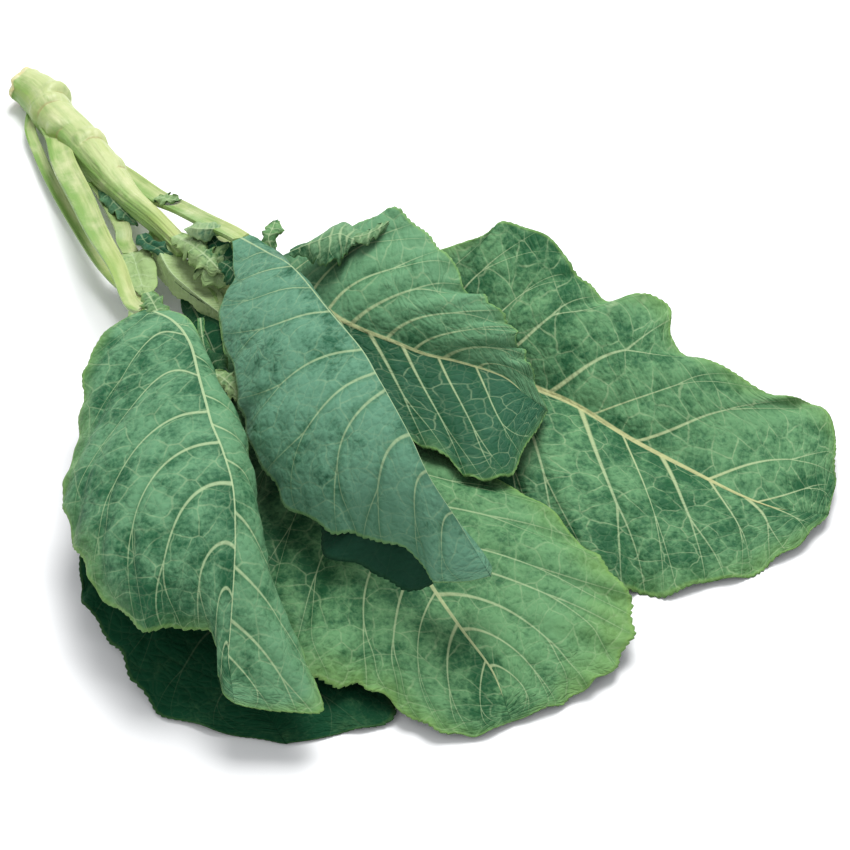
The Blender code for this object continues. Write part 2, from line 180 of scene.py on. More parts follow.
LEAF_C = dict(
    rows=[
        [(-98, 81, 60)],
        [(-82, 53, 74), (-70, 52, 66), (-100, 48, 60)],
        [(-67, 27, 86), (-56, 8, 64), (-106, 23, 58)],
        [(-47, -19, 98), (-50, -42, 60), (-95, -25, 57)],
        [(-31, -50, 102), (-50, -74, 54), (-88, -58, 54)],
        [(-23, -71, 104), (-50, -106, 47), (-71, -98, 52)],
        [(-17, -85, 103), (-47, -132, 42), (-45, -125, 53)],
        [(-7, -108, 100), (-26, -137, 40), (-25, -130, 56)],
        [(2, -128, 93), (-7, -148, 37), (-4, -145, 57)],
        [(15, -143, 80), (28, -144, 50), (7, -161, 56)],
        [(23, -152, 70), (31, -161, 61)],
    ],
    base=5.0, bulge=[(12, 6, 4), (-6, -3, 8)], ruffle=(1.6, 1.6), waves=(5.2, 6.4),
    veins=[
        [(1.5, 1.3, 0.8), (2.6, 2.4, 0.8), (3.7, 3.6, 1.0), (4.8, 4.8, 1.0), (5.9, 6.1, 0.9),
         (7.0, 7.2, 0.9), (8.0, 8.3, 0.8), (8.9, 9.2, 0.6)],
        [(1.0, 0.4, 0.5), (1.95, 0.9, 0.8), (2.5, 1.7, 0.5), (3.0, 2.4, 0.95), (4.03, 3.6, 1.0),
         (4.88, 5.1, 1.0), (5.7, 6.4, 0.9), (6.95, 6.95, 1.0), (7.85, 8.4, 0.7), (8.8, 9.2, 0.5)]],
    dip=(0.0, 0.15))
LEAF_D = dict(
    rows=[
        [(-146, 36, 50)],
        [(-130, 15, 61), (-122, 19, 58), (-167, 16, 50)],
        [(-119, -9, 68), (-110, -13, 61), (-174, -17, 46)],
        [(-112, -41, 75), (-99, -44, 61), (-173, -46, 42)],
        [(-107, -63, 78), (-89, -64, 58), (-177, -92, 40)],
        [(-103, -80, 80), (-87, -80, 56), (-167, -126, 41)],
        [(-97, -98, 81), (-85, -99, 54), (-154, -154, 43)],
        [(-91, -121, 80), (-80, -131, 50), (-131, -180, 46)],
        [(-89, -144, 74), (-71, -157, 41), (-110, -180, 48)],
        [(-89, -165, 66), (-57, -184, 31), (-98, -185, 45)],
        [(-90, -182, 54), (-48, -210, 24), (-96, -196, 39)],
        [(-91, -195, 44), (-67, -214, 27), (-94, -207, 34)],
        [(-90, -201, 39), (-88, -212, 30)],
    ],
    base=4.2, bulge=[(5, 0, 3), (-8, -4, 10)], ruffle=(1.2, 2.2), waves=(5.0, 6.6),
    veins=[
        [(1.2, 1.4, 0.6), (2.4, 2.8, 0.7), (3.7, 4.2, 0.8), (5.0, 5.6, 0.9), (6.3, 6.9, 0.9),
         (7.6, 8.3, 1.0), (8.8, 9.6, 0.9), (10.0, 10.6, 0.8), (11.0, 11.3, 0.5)],
        [(0.8, 1.9, 0.5), (1.75, 3.9, 0.95), (3.0, 4.9, 0.95), (4.4, 6.3, 1.05), (5.75, 7.0, 1.0),
         (6.95, 7.6, 1.1), (8.4, 8.5, 0.9), (9.5, 9.5, 0.7), (10.8, 10.9, 0.5)]],
    dip=(0.0, 0.42))
LEAF_E = dict(
    rows=[
        [(-105, 71, 24)],
        [(-70, 1, 28), (-20, -8, 27), (-97, -28, 24)],
        [(-48, -43, 29), (22, -54, 28), (-94, -89, 22)],
        [(-30, -76, 29), (58, -84, 27), (-79, -145, 19)],
        [(-15, -104, 28), (82, -112, 23), (-62, -182, 17)],
        [(-2, -127, 27), (100, -139, 15), (-38, -187, 15)],
        [(7, -143, 25), (95, -165, 9), (-19, -193, 12)],
        [(18, -160, 21), (79, -181, 6), (-1, -206, 7)],
        [(31, -177, 14), (62, -192, 4), (21, -210, 4)],
        [(37, -190, 8), (41, -201, 3)],
    ],
    base=8.0, bulge=[(0, 0, 5), (0, 0, 5)], ruffle=(1.8, 1.8), waves=(6.8, 6.2),
    veins=[
        [(0.9, 0.9, 0.8), (1.8, 1.9, 0.8), (2.6, 2.9, 0.9), (3.5, 3.9, 1.1), (4.5, 5.0, 0.9),
         (5.0, 5.9, 1.1), (5.9, 7.5, 1.0), (7.0, 8.2, 0.7), (8.0, 8.7, 0.5)],
        [(0.8, 1.0, 0.8), (1.5, 2.0, 0.8), (2.2, 3.1, 0.8), (2.95, 4.3, 1.0), (4.0, 5.9, 0.9),
         (4.85, 6.8, 1.0), (5.8, 7.5, 0.6), (6.8, 8.0, 0.9), (7.8, 8.6, 0.5)]],
    dip=(0.25, 0.0))
LEAF_F = dict(
    rows=[
        [(-156, 64, 18)],
        [(-152, 31, 16), (-135, 33, 15), (-166, 2, 15)],
        [(-146, -9, 14), (-114, -16, 12), (-170, -64, 18)],
        [(-134, -50, 12), (-91, -64, 10), (-169, -114, 20)],
        [(-120, -87, 11), (-67, -116, 8), (-165, -140, 14)],
        [(-107, -123, 10), (-40, -159, 6), (-148, -160, 10)],
        [(-95, -154, 9), (-14, -196, 3), (-131, -190, 4)],
        [(-83, -184, 8), (-38, -206, 1.4), (-104, -204, 2)],
        [(-75, -198, 6), (-65, -213, 1.4)],
    ],
    base=4.0, bulge=[(0, 0, 2), (0, 0, 4)], ruffle=(1.0, 2.0), waves=(5.2, 5.6),
    veins=[
        [(0.9, 1.0, 0.7), (1.8, 2.0, 0.8), (2.7, 3.0, 0.9), (3.6, 4.0, 0.9), (4.5, 5.0, 0.9),
         (5.4, 5.9, 0.9), (6.3, 6.8, 0.7)],
        [(1.1, 1.2, 0.7), (2.1, 2.3, 0.8), (3.0, 3.4, 0.9), (3.9, 4.5, 0.9), (4.8, 5.5, 0.9),
         (5.8, 6.4, 0.8), (6.8, 7.2, 0.6)]],
    dip=(0.1, 0.1))


def small_leaf(base, rise, ruffle, waves, rows, **more):
    """The table of a small leaf, whose two sides bulge straight up by rise."""
    return dict(
        rows=rows, base=base, bulge=[(0, 0, height) for height in rise], ruffle=ruffle, waves=waves,
        **more)


# The small leaf whose blade has shrunk to a pale stub
LEAF_STUB = small_leaf(4.6, (2, 2), (1.0, 1.0), (1.6, 1.4), [
    [(-163, 119, 16)],
    [(-160, 110, 19), (-151, 112, 22), (-167, 105, 22)],
    [(-156, 95, 19), (-146, 91, 20), (-163, 88, 22)],
    [(-153, 82, 22), (-151, 75, 22)]])

# Each leaf with a stalk of its own: its table, and its stalk's points before the last
# stretch, as x, y, z and half width
LEAVES = {
    "right": (LEAF_A, [(-127, 110, 24, 4.0), (-116, 106, 24, 5.0), (-99, 97, 25, 5.6)]),
    "back": (LEAF_B, [(-131, 117, 29, 4.0), (-121, 114, 33, 4.6), (-107, 104, 38, 5.0)]),
    "top": (LEAF_C, [
        (-186, 204, 12, 4.6), (-171, 189, 13, 5.4), (-152, 166, 17, 5.6),
        (-137, 144, 28, 5.4), (-121, 117, 42, 5.2)]),
    "left": (LEAF_D, [
        (-219, 236, 12, 5.4), (-213, 216, 16, 6.4), (-206, 190, 20, 7.2),
        (-192, 152, 27, 7.0), (-179, 114, 34, 6.0), (-165, 78, 42, 4.8)]),
    "front": (LEAF_E, [
        (-148, 139, 20, 4.0), (-149, 126, 13, 6.0), (-141, 110, 13, 8.4), (-127, 95, 17, 9.4)]),
    "under": (LEAF_F, [
        (-231, 253, 10, 3.0), (-232, 238, 8, 3.2), (-225, 217, 7, 3.4),
        (-214, 189, 8, 3.6), (-199, 156, 9, 3.8), (-182, 121, 11, 4.0), (-171, 102, 13, 4.0)]),
    "stub": (LEAF_STUB, [(-189, 184, 13, 3.4), (-179, 166, 11, 4.2), (-170, 145, 12, 4.6)]),
}

# Small leaves that sit close round the growing end, in the same form
SPROUTS = {
    "sprout_pale": small_leaf(3.0, (4, 3), (2.6, 2.6), (2.4, 3.1), [
        [(-129, 108, 30)],
        [(-120, 93, 36), (-111, 98, 40), (-126, 88, 34)],
        [(-113, 83, 38), (-103, 88, 42), (-119, 76, 33)],
        [(-107, 77, 36), (-102, 72, 33)]]),
    "sprout_dark": small_leaf(2.0, (1, 1), (1.2, 1.2), (2.7, 2.2), [
        [(-81, 75, 56)],
        [(-83, 80, 60), (-87, 82, 59), (-79, 80, 61)],
        [(-81, 86, 62), (-85, 88, 61), (-76, 85, 62)],
        [(-80, 94, 61), (-79, 96, 60)]]),
    "sprout_low": small_leaf(2.0, (2, 2), (1.4, 1.4), (2.3, 1.7), [
        [(-158, 130, 20)],
        [(-154, 119, 23), (-149, 120, 25), (-158, 117, 24)],
        [(-146, 111, 25), (-141, 111, 26), (-149, 108, 25)],
        [(-141, 108, 23), (-138, 106, 23)]]),
    "sprout_between": small_leaf(1.6, (3, 3), (1.8, 1.8), (3.6, 3.2), [
        [(-120, 55, 26)],
        [(-116, 27, 32), (-114, 29, 31), (-118, 27, 31)],
        [(-110, 4, 38), (-102, 5, 40), (-114, 1, 37)],
        [(-103, -20, 42), (-95, -17, 42), (-110, -20, 37)],
        [(-96, -38, 42), (-88, -41, 42), (-102, -45, 37)],
        [(-91, -51, 40), (-88, -57, 38)]]),
}

# Torn leaves and scraps that no plain solid stands for, and a dark sheet of painted shade, in the same
# form
SCRAPS = {
    "stalk_leaf_base": small_leaf(4.0, (-2, 2), (1.0, 0.6), (2.4, 1.7), [
        [(-147, 115, 24)],
        [(-143, 101, 26), (-134, 110, 23), (-148, 107, 17)],
        [(-137, 88, 27), (-126, 100, 24), (-143, 94, 16)],
        [(-128, 77, 27), (-118, 89, 25), (-134, 82, 16)],
        [(-120, 68, 27), (-111, 77, 26), (-124, 74, 16)],
        [(-112, 61, 26), (-108, 66, 26), (-115, 64, 17)],
        [(-108, 57, 25), (-106, 54, 24)]],
        veins=[[(row, row + 0.9, 0.35) for row in np.arange(0.3, 5.6, 0.22)],
               [(row, row + 0.5, 0.30) for row in np.arange(0.3, 5.6, 0.5)]]),
    "crinkled_leaf": small_leaf(3.0, (2, 3), (2.6, 2.6), (4.7, 3.9), [
        [(-137, 115, 32)],
        [(-130, 103, 38), (-126, 107, 38), (-134, 101, 34)],
        [(-123, 93, 41), (-119, 97, 41), (-128, 90, 36)],
        [(-116, 84, 42), (-112, 87, 42), (-120, 79, 38)],
        [(-110, 76, 41), (-108, 74, 40)]]),
    "curled_leaf": small_leaf(2.4, (1.5, 1.5), (0.8, 0.8), (2.2, 2.6), [
        [(-129, 108, 44)],
        [(-124, 101, 49), (-122, 107, 48), (-125, 99, 45)],
        [(-117, 98, 51), (-116, 106, 49), (-119, 95, 46)],
        [(-112, 100, 50), (-111, 105, 49), (-113, 97, 47)],
        [(-109, 101, 48), (-107, 101, 47)]]),
    # A dark leaf-shaped sheet put where there is only shade: painted shade between the leaves
    "shaded_leaf": small_leaf(2.0, (1, 1), (1.0, 1.0), (2.2, 2.6), [
        [(-120, 108, 40)],
        [(-115, 99, 42), (-112, 100, 43), (-119, 98, 40)],
        [(-110, 89, 43), (-104, 90, 45), (-114, 87, 40)],
        [(-105, 82, 42), (-102, 78, 41)]]),
    "folded_leaf": small_leaf(3.0, (2, 2), (1.6, 1.6), (3.2, 2.6), [
        [(-132, 95, 8)],
        [(-124, 72, 13), (-116, 77, 14), (-129, 71, 10)],
        [(-116, 49, 17), (-104, 54, 18), (-120, 47, 14)],
        [(-109, 27, 20), (-100, 31, 21), (-116, 23, 17)],
        [(-103, 9, 21), (-100, 1, 20)]]),
    "scrap_between": small_leaf(2.0, (1, 1), (1.6, 1.6), (3.2, 4.6), [
        [(-109, -12, 50)],
        [(-103, -18, 52), (-98, -15, 53), (-106, -21, 50)],
        [(-98, -25, 53), (-94, -22, 54), (-100, -29, 50)],
        [(-94, -30, 51), (-93, -35, 50)]]),
    "ragged_leaf": small_leaf(2.0, (1, 1), (1.6, 1.6), (4.2, 3.6), [
        [(-109, 77, 46)],
        [(-104, 69, 50), (-99, 70, 53), (-107, 67, 46)],
        [(-100, 60, 53), (-95, 64, 55), (-104, 58, 47)],
        [(-96, 55, 53), (-94, 54, 50)]]),
    "rolled_margin": small_leaf(2.0, (2, 3), (0.6, 1.8), (2.2, 5.6), [
        [(-71, 59, 69)],
        [(-63, 58, 74), (-59, 64, 73), (-62, 54, 70)],
        [(-54, 57, 79), (-50, 69, 76), (-54, 45, 73)],
        [(-45, 58, 82), (-42, 71, 78), (-44, 44, 76)],
        [(-39, 56, 81), (-33, 64, 79), (-40, 50, 78)],
        [(-35, 56, 80), (-33, 55, 79)]]),
    "torn_margin": small_leaf(1.4, (1, 1), (1.2, 1.2), (4.2, 3.6), [
        [(-38, 58, 80)],
        [(-31, 55, 84), (-29, 60, 83), (-32, 51, 82)],
        [(-23, 60, 85), (-21, 66, 84), (-23, 57, 83)],
        [(-17, 67, 85), (-15, 72, 84)]]),
    "scrap_left": small_leaf(2.6, (2, 2), (2.0, 2.0), (3.2, 2.6), [
        [(-147, 53, 46)],
        [(-143, 42, 50), (-139, 45, 50), (-148, 40, 48)],
        [(-139, 30, 53), (-134, 32, 52), (-145, 27, 51)],
        [(-136, 23, 53), (-134, 19, 52)]]),
    "scrap_back": small_leaf(1.8, (1, 1), (1.4, 1.4), (3.2, 2.6), [
        [(-152, 160, 21)],
        [(-148, 155, 25), (-145, 158, 25), (-151, 154, 24)],
        [(-143, 151, 27), (-140, 154, 28), (-146, 149, 26)],
        [(-139, 149, 28), (-136, 150, 28)]]),
    "scrap_under": small_leaf(2.2, (1, 1), (1.6, 1.6), (3.7, 2.9), [
        [(-186, 181, 12)],
        [(-181, 172, 15), (-178, 175, 15), (-185, 170, 13)],
        [(-175, 161, 16), (-172, 165, 16), (-179, 159, 13)],
        [(-169, 154, 15), (-166, 156, 16), (-172, 151, 13)],
        [(-164, 148, 14), (-161, 144, 14)]]),
}

# What sets each blade's finish apart, in shares of 0 to 1. bloom is the waxy blue and how much
# painted sheen its wax patches add, margin the edge's yellow, tan how brown the rib is, light the
# painted light and shade left and right of the rib, young how pale and unripe it is, clear how
# much its side veins stand out, shade how far it is darkened by painted shade. rib is the pale
# rib's width. What isn't given is as blade_finish has it
FINISH = {
    "blade_right": dict(bloom=0.3, margin=0.35, tan=0.9, light=(0.47, 0.3), clear=1.0, rib=1.25),
    "blade_back": dict(bloom=0.5, margin=0.15, tan=0.7, light=(0.96, -0.42), clear=0.8, rib=1.0),
    "blade_top": dict(bloom=0.9, margin=0.05, light=(0.8, 0.86), clear=0.5, rib=0.28),
    "blade_left": dict(bloom=0.5, margin=0.55, light=(0.85, 0.44), clear=0.8, rib=0.45),
    "blade_front": dict(bloom=0.25, margin=0.55, tan=0.5, light=(0.6, 0.46), clear=0.75, rib=0.7),
    # The blade lying under the others is darkened as a whole by painted shade
    "blade_under": dict(margin=0.05, tan=0.2, light=(-0.1, -0.1), rib=0.5, shade=0.7),
    "blade_stub": dict(margin=0.6, light=(0.7, 0.8), young=0.75, clear=0.3, rib=0.6),
    "sprout_pale": dict(margin=0.5, light=(0.6, 0.7), young=0.55, clear=0.3, rib=0.6),
    "sprout_dark": dict(margin=0.9, light=(0.9, 0.7), young=0.1),
    "sprout_low": dict(bloom=0.8, light=(0.0, -0.1), rib=0.6, shade=0.3),
    "sprout_between": dict(margin=0.6, light=(0.2, 0.4), clear=0.3, rib=0.5),
    "stalk_leaf_base": dict(margin=0.3, light=(0.9, 0.3), young=0.8, clear=0.5, rib=0.9),
    "crinkled_leaf": dict(margin=0.8, light=(0.8, 0.6), young=0.6, clear=0.4, rib=0.8),
    "curled_leaf": dict(bloom=1.0, light=(1.0, 0.9), young=0.6),
    # The dark sheet is painted shade, dark all over
    "shaded_leaf": dict(margin=0.0, light=(-0.2, -0.2), rib=0.3, shade=0.6),
    "folded_leaf": dict(light=(0.0, -0.1), rib=0.5, shade=0.5),
    "ragged_leaf": dict(bloom=0.2, light=(-0.1, 0.0), rib=0.3, shade=0.4),
    "rolled_margin": dict(bloom=0.6, margin=0.2, light=(0.66, 0.5), young=0.12, clear=0.3, rib=0.3),
    "torn_margin": dict(bloom=0.5, margin=0.2, light=(0.7, 0.5), young=0.2, clear=0.3, rib=0.3),
    "scrap_left": dict(bloom=0.2, margin=0.7, light=(0.6, 0.4), young=0.2, clear=0.3, rib=0.6),
    "scrap_between": dict(margin=0.8, light=(0.9, 0.8), young=0.55, clear=0.3, rib=0.5),
    "scrap_back": dict(bloom=0.2, margin=0.6, light=(0.9, 0.8), young=0.45),
    "scrap_under": dict(bloom=0.6, light=(0.1, 0.1), young=0.05),
}


def tint(name, description, *default):
    """A colour that a user can change."""
    return FloatVectorProperty(name=name, description=description, subtype="COLOR", default=default)


class BladeSizes(bpy.types.PropertyGroup):
    """How finely the blades are made and how far their details stand out."""
    rows: IntProperty(name="Rows", description="Rows of a large blade", default=300, min=20)
    columns: IntProperty(name="Columns", description="Columns of a large blade", default=160, min=20)
    small_rows: IntProperty(name="Small rows", description="Rows of a small leaf", default=90, min=10)
    small_columns: IntProperty(
        name="Small columns", description="Columns of a small leaf", default=60, min=10)
    vein: FloatProperty(
        name="Vein height", description="How far side veins stand out above, in mm", default=0.30)
    rib: FloatProperty(
        name="Rib height", description="How far the rib stands out above, in mm", default=0.6)
    arch: FloatProperty(
        name="Arch", description="Rise between two side veins, as a share of their distance",
        default=0.072)
    puff: FloatProperty(
        name="Pucker height", description="Height of the small puckers between veins, mm", default=0.45)
    tooth: FloatProperty(
        name="Tooth length", description="How far the edge's teeth stand out, mm", default=1.5)
    frill: FloatProperty(
        name="Frill height", description="Height of the edge's small waves, mm", default=0.9)


class LeafColours(bpy.types.PropertyGroup):
    """The colours of the blades."""
    deep: tint("Deep green", "Blade between the veins, dark", 0.014, 0.085, 0.028)
    light: tint("Light green", "Blade between the veins, light", 0.122, 0.276, 0.100)
    shadow: tint("Dark bloom", "Darkest green of a waxy blade", 0.012, 0.075, 0.042)
    # The bloom colour is also the colour of the painted sheen on wax patches
    bloom: tint("Waxy bloom", "Blue-green wax on the blade", 0.094, 0.226, 0.158)
    margin: tint("Margin", "Yellow-green of the edge", 0.190, 0.340, 0.085)
    young: tint("Young green", "Pale green of the smallest leaves", 0.330, 0.430, 0.190)
    vein: tint("Side vein", "Pale green of side veins", 0.36, 0.47, 0.26)
    tan: tint("Tan rib", "Brownish tint of the thick ribs", 0.44, 0.42, 0.19)
    # The underside is set very dark as painted shade; the blades' painted shade is mixed towards it too
    under: tint("Underside", "Dull green of the underside", 0.003, 0.036, 0.018)


class StalkColours(bpy.types.PropertyGroup):
    """The colours of the stalk and the leaf stalks."""
    pale: tint("Pale stalk", "Pale yellow-green of the thick stalk", 0.42, 0.48, 0.22)
    green: tint("Leaf stalk green", "Green streaks of the stalks", 0.17, 0.30, 0.07)
    olive: tint("Olive", "Yellowish patches of the stalks", 0.36, 0.42, 0.11)
    cut: tint("Cut end", "Yellowish pink of the torn end", 0.58, 0.50, 0.24)
    scar: tint("Scar", "Dry brown of scars and the cut end", 0.30, 0.27, 0.11)
    pith: tint("Pith", "Cream of the cut end's middle", 0.62, 0.60, 0.38)


class StageSettings(bpy.types.PropertyGroup):
    """The floor, the lights and the camera."""
    floor: tint("Floor", "Colour of the pale surface", 0.90, 0.905, 0.91)
    key: FloatProperty(
        name="Key light", description="Power of the soft light", default=30.0, unit="POWER")
    fill: FloatProperty(
        name="Fill light", description="Power of the weak light", default=4.0, unit="POWER")
    sky: FloatProperty(name="Sky light", description="Strength of the even light", default=0.60)
    lens: FloatProperty(
        name="Lens", description="Focal length in mm", default=112.66, subtype="DISTANCE_CAMERA")
    distance: FloatProperty(
        name="Distance", description="From the camera to its target", default=1.4, unit="LENGTH")
    elevation: FloatProperty(
        name="Elevation", description="Angle of the view above the table", default=np.radians(45.0),
        subtype="ANGLE")


class Signal:
    """A shader socket in Python sums: each operator adds the Math node of its name."""

    def __init__(self, nodes, socket):
        self.nodes = nodes
        self.socket = socket

    def __add__(self, other):
        return self.nodes.maths("ADD", self, other)

    def __sub__(self, other):
        return self.nodes.maths("SUBTRACT", self, other)

    def __rsub__(self, other):
        return self.nodes.maths("SUBTRACT", other, self)

    def __mul__(self, other):
        return self.nodes.maths("MULTIPLY", self, other)

    def __pow__(self, other):
        return self.nodes.maths("POWER", self, other)

    def __abs__(self):
        return self.nodes.maths("ABSOLUTE", self)

    def __gt__(self, other):
        return self.nodes.maths("GREATER_THAN", self, other)

    __radd__ = __add__
    __rmul__ = __mul__


class Finish:
    """A material's node tree, built round its Principled shader."""

    def __init__(self, name):
        self.material = bpy.data.materials.new(name)
        self.material.use_nodes = True
        self.tree = self.material.node_tree
        self.shader = self.tree.nodes["Principled BSDF"]

    def make(self, kind, settings=None, inputs=(), output=0):
        """Add a node, set it up, fill its sockets and give back one output as a Signal.

        inputs is a sequence for the first sockets, or a dict by socket name or number.
        """
        node = self.tree.nodes.new(kind)
        for key, value in (settings or {}).items():
            setattr(node, key, value)
        pairs = inputs.items() if isinstance(inputs, dict) else enumerate(inputs)
        for key, value in pairs:
            if isinstance(value, Signal):
                self.tree.links.new(value.socket, node.inputs[key])
            elif value is not None:
                node.inputs[key].default_value = value
        return Signal(self, node.outputs[output])

    def maths(self, operation, *values):
        return self.make("ShaderNodeMath", dict(operation=operation), values)

    def attribute(self, name):
        return self.make("ShaderNodeAttribute", dict(attribute_name=name), output="Vector")

    def split(self, vector):
        """The three numbers of a vector."""
        first = self.make("ShaderNodeSeparateXYZ", None, [vector])
        node = first.socket.node
        return [Signal(self, node.outputs[number]) for number in range(3)]

    def place(self):
        return self.make("ShaderNodeTexCoord", output="Object")

    def vectors(self, operation, *values):
        return self.make("ShaderNodeVectorMath", dict(operation=operation), values)

    def mix(self, share, first, second):
        """A colour between two colours."""
        colours = [value if isinstance(value, Signal) else (*value, 1.0) for value in (first, second)]
        return self.make(
            "ShaderNodeMix", dict(data_type="RGBA"), {0: share, 6: colours[0], 7: colours[1]}, 2)

    def mix_vectors(self, share, first, second):
        return self.make(
            "ShaderNodeMix", dict(data_type="VECTOR"), {0: share, 4: first, 5: second}, 1)

    def ease(self, value, low, high):
        """0 at low to 1 at high with soft ends; low may be the greater."""
        return self.make(
            "ShaderNodeMapRange", dict(interpolation_type="SMOOTHSTEP"),
            {"Value": value, "From Min": low, "From Max": high})

    def noise(self, vector, scale, detail=3.0, rough=0.5, output=0):
        return self.make(
            "ShaderNodeTexNoise", None,
            {"Vector": vector, "Scale": scale, "Detail": detail, "Roughness": rough}, output)

    def cells(self, vector, scale):
        """Distance from the border of flat cells, in cells."""
        return self.make(
            "ShaderNodeTexVoronoi", dict(voronoi_dimensions="2D", feature="DISTANCE_TO_EDGE"),
            {"Vector": vector, "Scale": scale})

    def surface(self, colour, roughness, height, rise, **constants):
        """Feed the shader: colour, roughness and a bump of height times rise metres."""
        bump = self.make(
            "ShaderNodeBump", None, {"Strength": 1.0, "Distance": rise, "Height": height})
        for name, signal in (("Base Color", colour), ("Roughness", roughness), ("Normal", bump)):
            self.tree.links.new(signal.socket, self.shader.inputs[name])
        for name, value in constants.items():
            self.shader.inputs[name.replace("_", " ")].default_value = value
        return self.material


def curve_through(points, at):
    """Catmull-Rom curve through rows of numbers, read at places 0 to the last row."""
    points = np.asarray(points, float)
    last = len(points) - 1
    start = np.clip(np.floor(at).astype(int), 0, last - 1)
    part = (at - start)[:, None]
    before = points[np.maximum(start - 1, 0)]
    here = points[start]
    after = points[start + 1]
    beyond = points[np.minimum(start + 2, last)]
    straight = 2.0 * here + (after - before) * part
    bend = (2.0 * before - 5.0 * here + 4.0 * after - beyond) * part ** 2
    return 0.5 * (straight + bend + (3.0 * here - before - 3.0 * after + beyond) * part ** 3)


def blend(first, second, share):
    """A colour on the straight line between two colours."""
    return [a + (b - a) * share for a, b in zip(first, second)]


def unit(vectors):
    """Vectors at length 1."""
    length = np.linalg.norm(vectors, axis=-1, keepdims=True)
    return vectors / np.maximum(length, 1e-9)


def rails(leaf):
    """The table of a blade as rib, left and right points for every row."""
    first, *middle, last = leaf["rows"]
    rib = np.array(first[0], float)
    ahead = unit(np.array(middle[0][0], float) - rib)
    side = unit(np.cross(ahead, (0.0, 0.0, 1.0))) * leaf["base"]
    rows = [[rib, rib - side, rib + side], *middle, [last[0], last[1], last[1]]]
    return np.array(rows, float)


def leaf_points(leaf, along, across):
    """Points of a blade in mm, for along 0..1 (base to tip) and across -1..1 (left to right).

    A row leaves the rib, lifts by a parabola of its side's bulge and ends on the edge.
    The outer part is waved up and down by two sines that grow as the cube of the distance
    from the rib, and in and out by a third.
    """
    rows = rails(leaf)
    flat = curve_through(rows.reshape(len(rows), 9), along * (len(rows) - 1))
    rib, left, right = flat[:, 0:3], flat[:, 3:6], flat[:, 6:9]
    on_left = (across < 0)[:, None]
    out = np.abs(across)
    edge = np.where(on_left, left, right)
    bulge = np.where(on_left, leaf["bulge"][0], leaf["bulge"][1])
    fade = np.abs(np.sin(np.pi * along)) ** 0.6
    swell = 4.0 * out * (1.0 - out) * np.sin(np.pi * along) ** 2
    points = rib + (edge - rib) * out[:, None] + bulge * swell[:, None]
    side = (across > 0).astype(int)
    turn = 2.0 * np.pi * np.take(leaf["waves"], side) * along + 2.0 * side
    wave = np.sin(turn) + 0.5 * np.sin(2.3 * turn + 1.0)
    points[:, 2] += np.take(leaf["ruffle"], side) * fade * out ** 3 * wave
    reach = np.take(leaf["ruffle"], side) * 0.6 * fade * out ** 2 * np.sin(1.7 * turn + 0.6)
    points += unit(edge - rib) * reach[:, None]
    points[:, 2] = np.maximum(points[:, 2], BLADE)
    return points


def rib_drop(leaf, along, from_rib):
    """How far the rib hangs below the sheet, in mm, and the direction it hangs in."""
    here = np.zeros_like(along)
    ahead = leaf_points(leaf, np.minimum(along + STEP, 1.0), here)
    ahead = unit(ahead - leaf_points(leaf, np.maximum(along - STEP, 0.0), here))
    across = leaf_points(leaf, along, here + RIB_SHARE) - leaf_points(leaf, along, here - RIB_SHARE)
    across += np.cross(ahead, (0.0, 0.0, 1.0)) * LEVEL
    width = leaf["base"] * (1.0 - RIB_TAPER * along)
    share = np.sqrt(np.maximum(0.0, 1.0 - (from_rib / width) ** 2))
    depth = np.maximum((PETIOLE_ARCH * width - BLADE) * share, 0.0)
    return depth, unit(np.cross(ahead, unit(across)))


def side_veins(leaf, side, index, out):
    """Where grid points lie among one side's veins: the result is n on vein n.

    A vein moves from its first row to its last with the square of the distance out, less
    a dip that is greatest a quarter of the way. Also gives each place's vein strength.
    """
    last = len(leaf["rows"]) - 1
    plain = [(row, row, 0.8) for row in np.arange(0.7, last - 0.2, 0.6)]
    veins = leaf.get("veins", [plain, plain])[side]
    dip = leaf.get("dip", (0.0, 0.0))[side]
    start, end, strength = np.array([(-1.0, -1.0, 0.5), *veins, (last + 1.0, last + 1.0, 0.5)]).T
    number = np.arange(len(start)) - 1.0
    lane = np.empty_like(index)
    for column in range(index.shape[1]):
        far = out[0, column]
        line = start + (end - start) * far ** 2 - dip * DIP_PEAK * far * (1.0 - far) ** 3
        line = line + WANDER * far * np.sin(6.0 * far + 2.4 * number) * (strength > 0.5)
        lane[:, column] = np.interp(index[:, column], line, number)
    return lane, np.interp(lane, number, strength)


def vein_distance(lane, pitch, strength, out):
    """Distance in mm from the nearest side vein or fork, and the vein's half width there."""
    fork = FORK_SPREAD * np.clip(out - FORK_AT, 0.0, 1.0) * strength
    near = np.abs(np.abs(lane - np.round(lane)) - fork)
    width = (VEIN_NEAR * (1.0 - out) ** 1.3 + VEIN_FAR) * strength
    return near * pitch, width


def lumps(points, size):
    """A soft irregular height of -1..1 at points in mm: three crossed sines of about that size."""
    x, y, z = np.moveaxis(points, -1, 0) * (2.0 * np.pi / size)
    total = np.sin(x + 0.6 * np.sin(0.7 * y)) + np.sin(0.9 * y + 0.8 * z + 1.3)
    return (total + np.sin(0.55 * (x - y) + 1.1 * z + 4.0 + np.sin(0.4 * x))) / 3.0


def reach_along(points, axis):
    """Distance in mm along one direction of a grid, from its first row or column."""
    steps = np.linalg.norm(np.diff(points, axis=axis), axis=-1)
    start = np.zeros_like(np.take(steps, [0], axis=axis))
    return np.concatenate([start, np.cumsum(steps, axis=axis)], axis=axis)


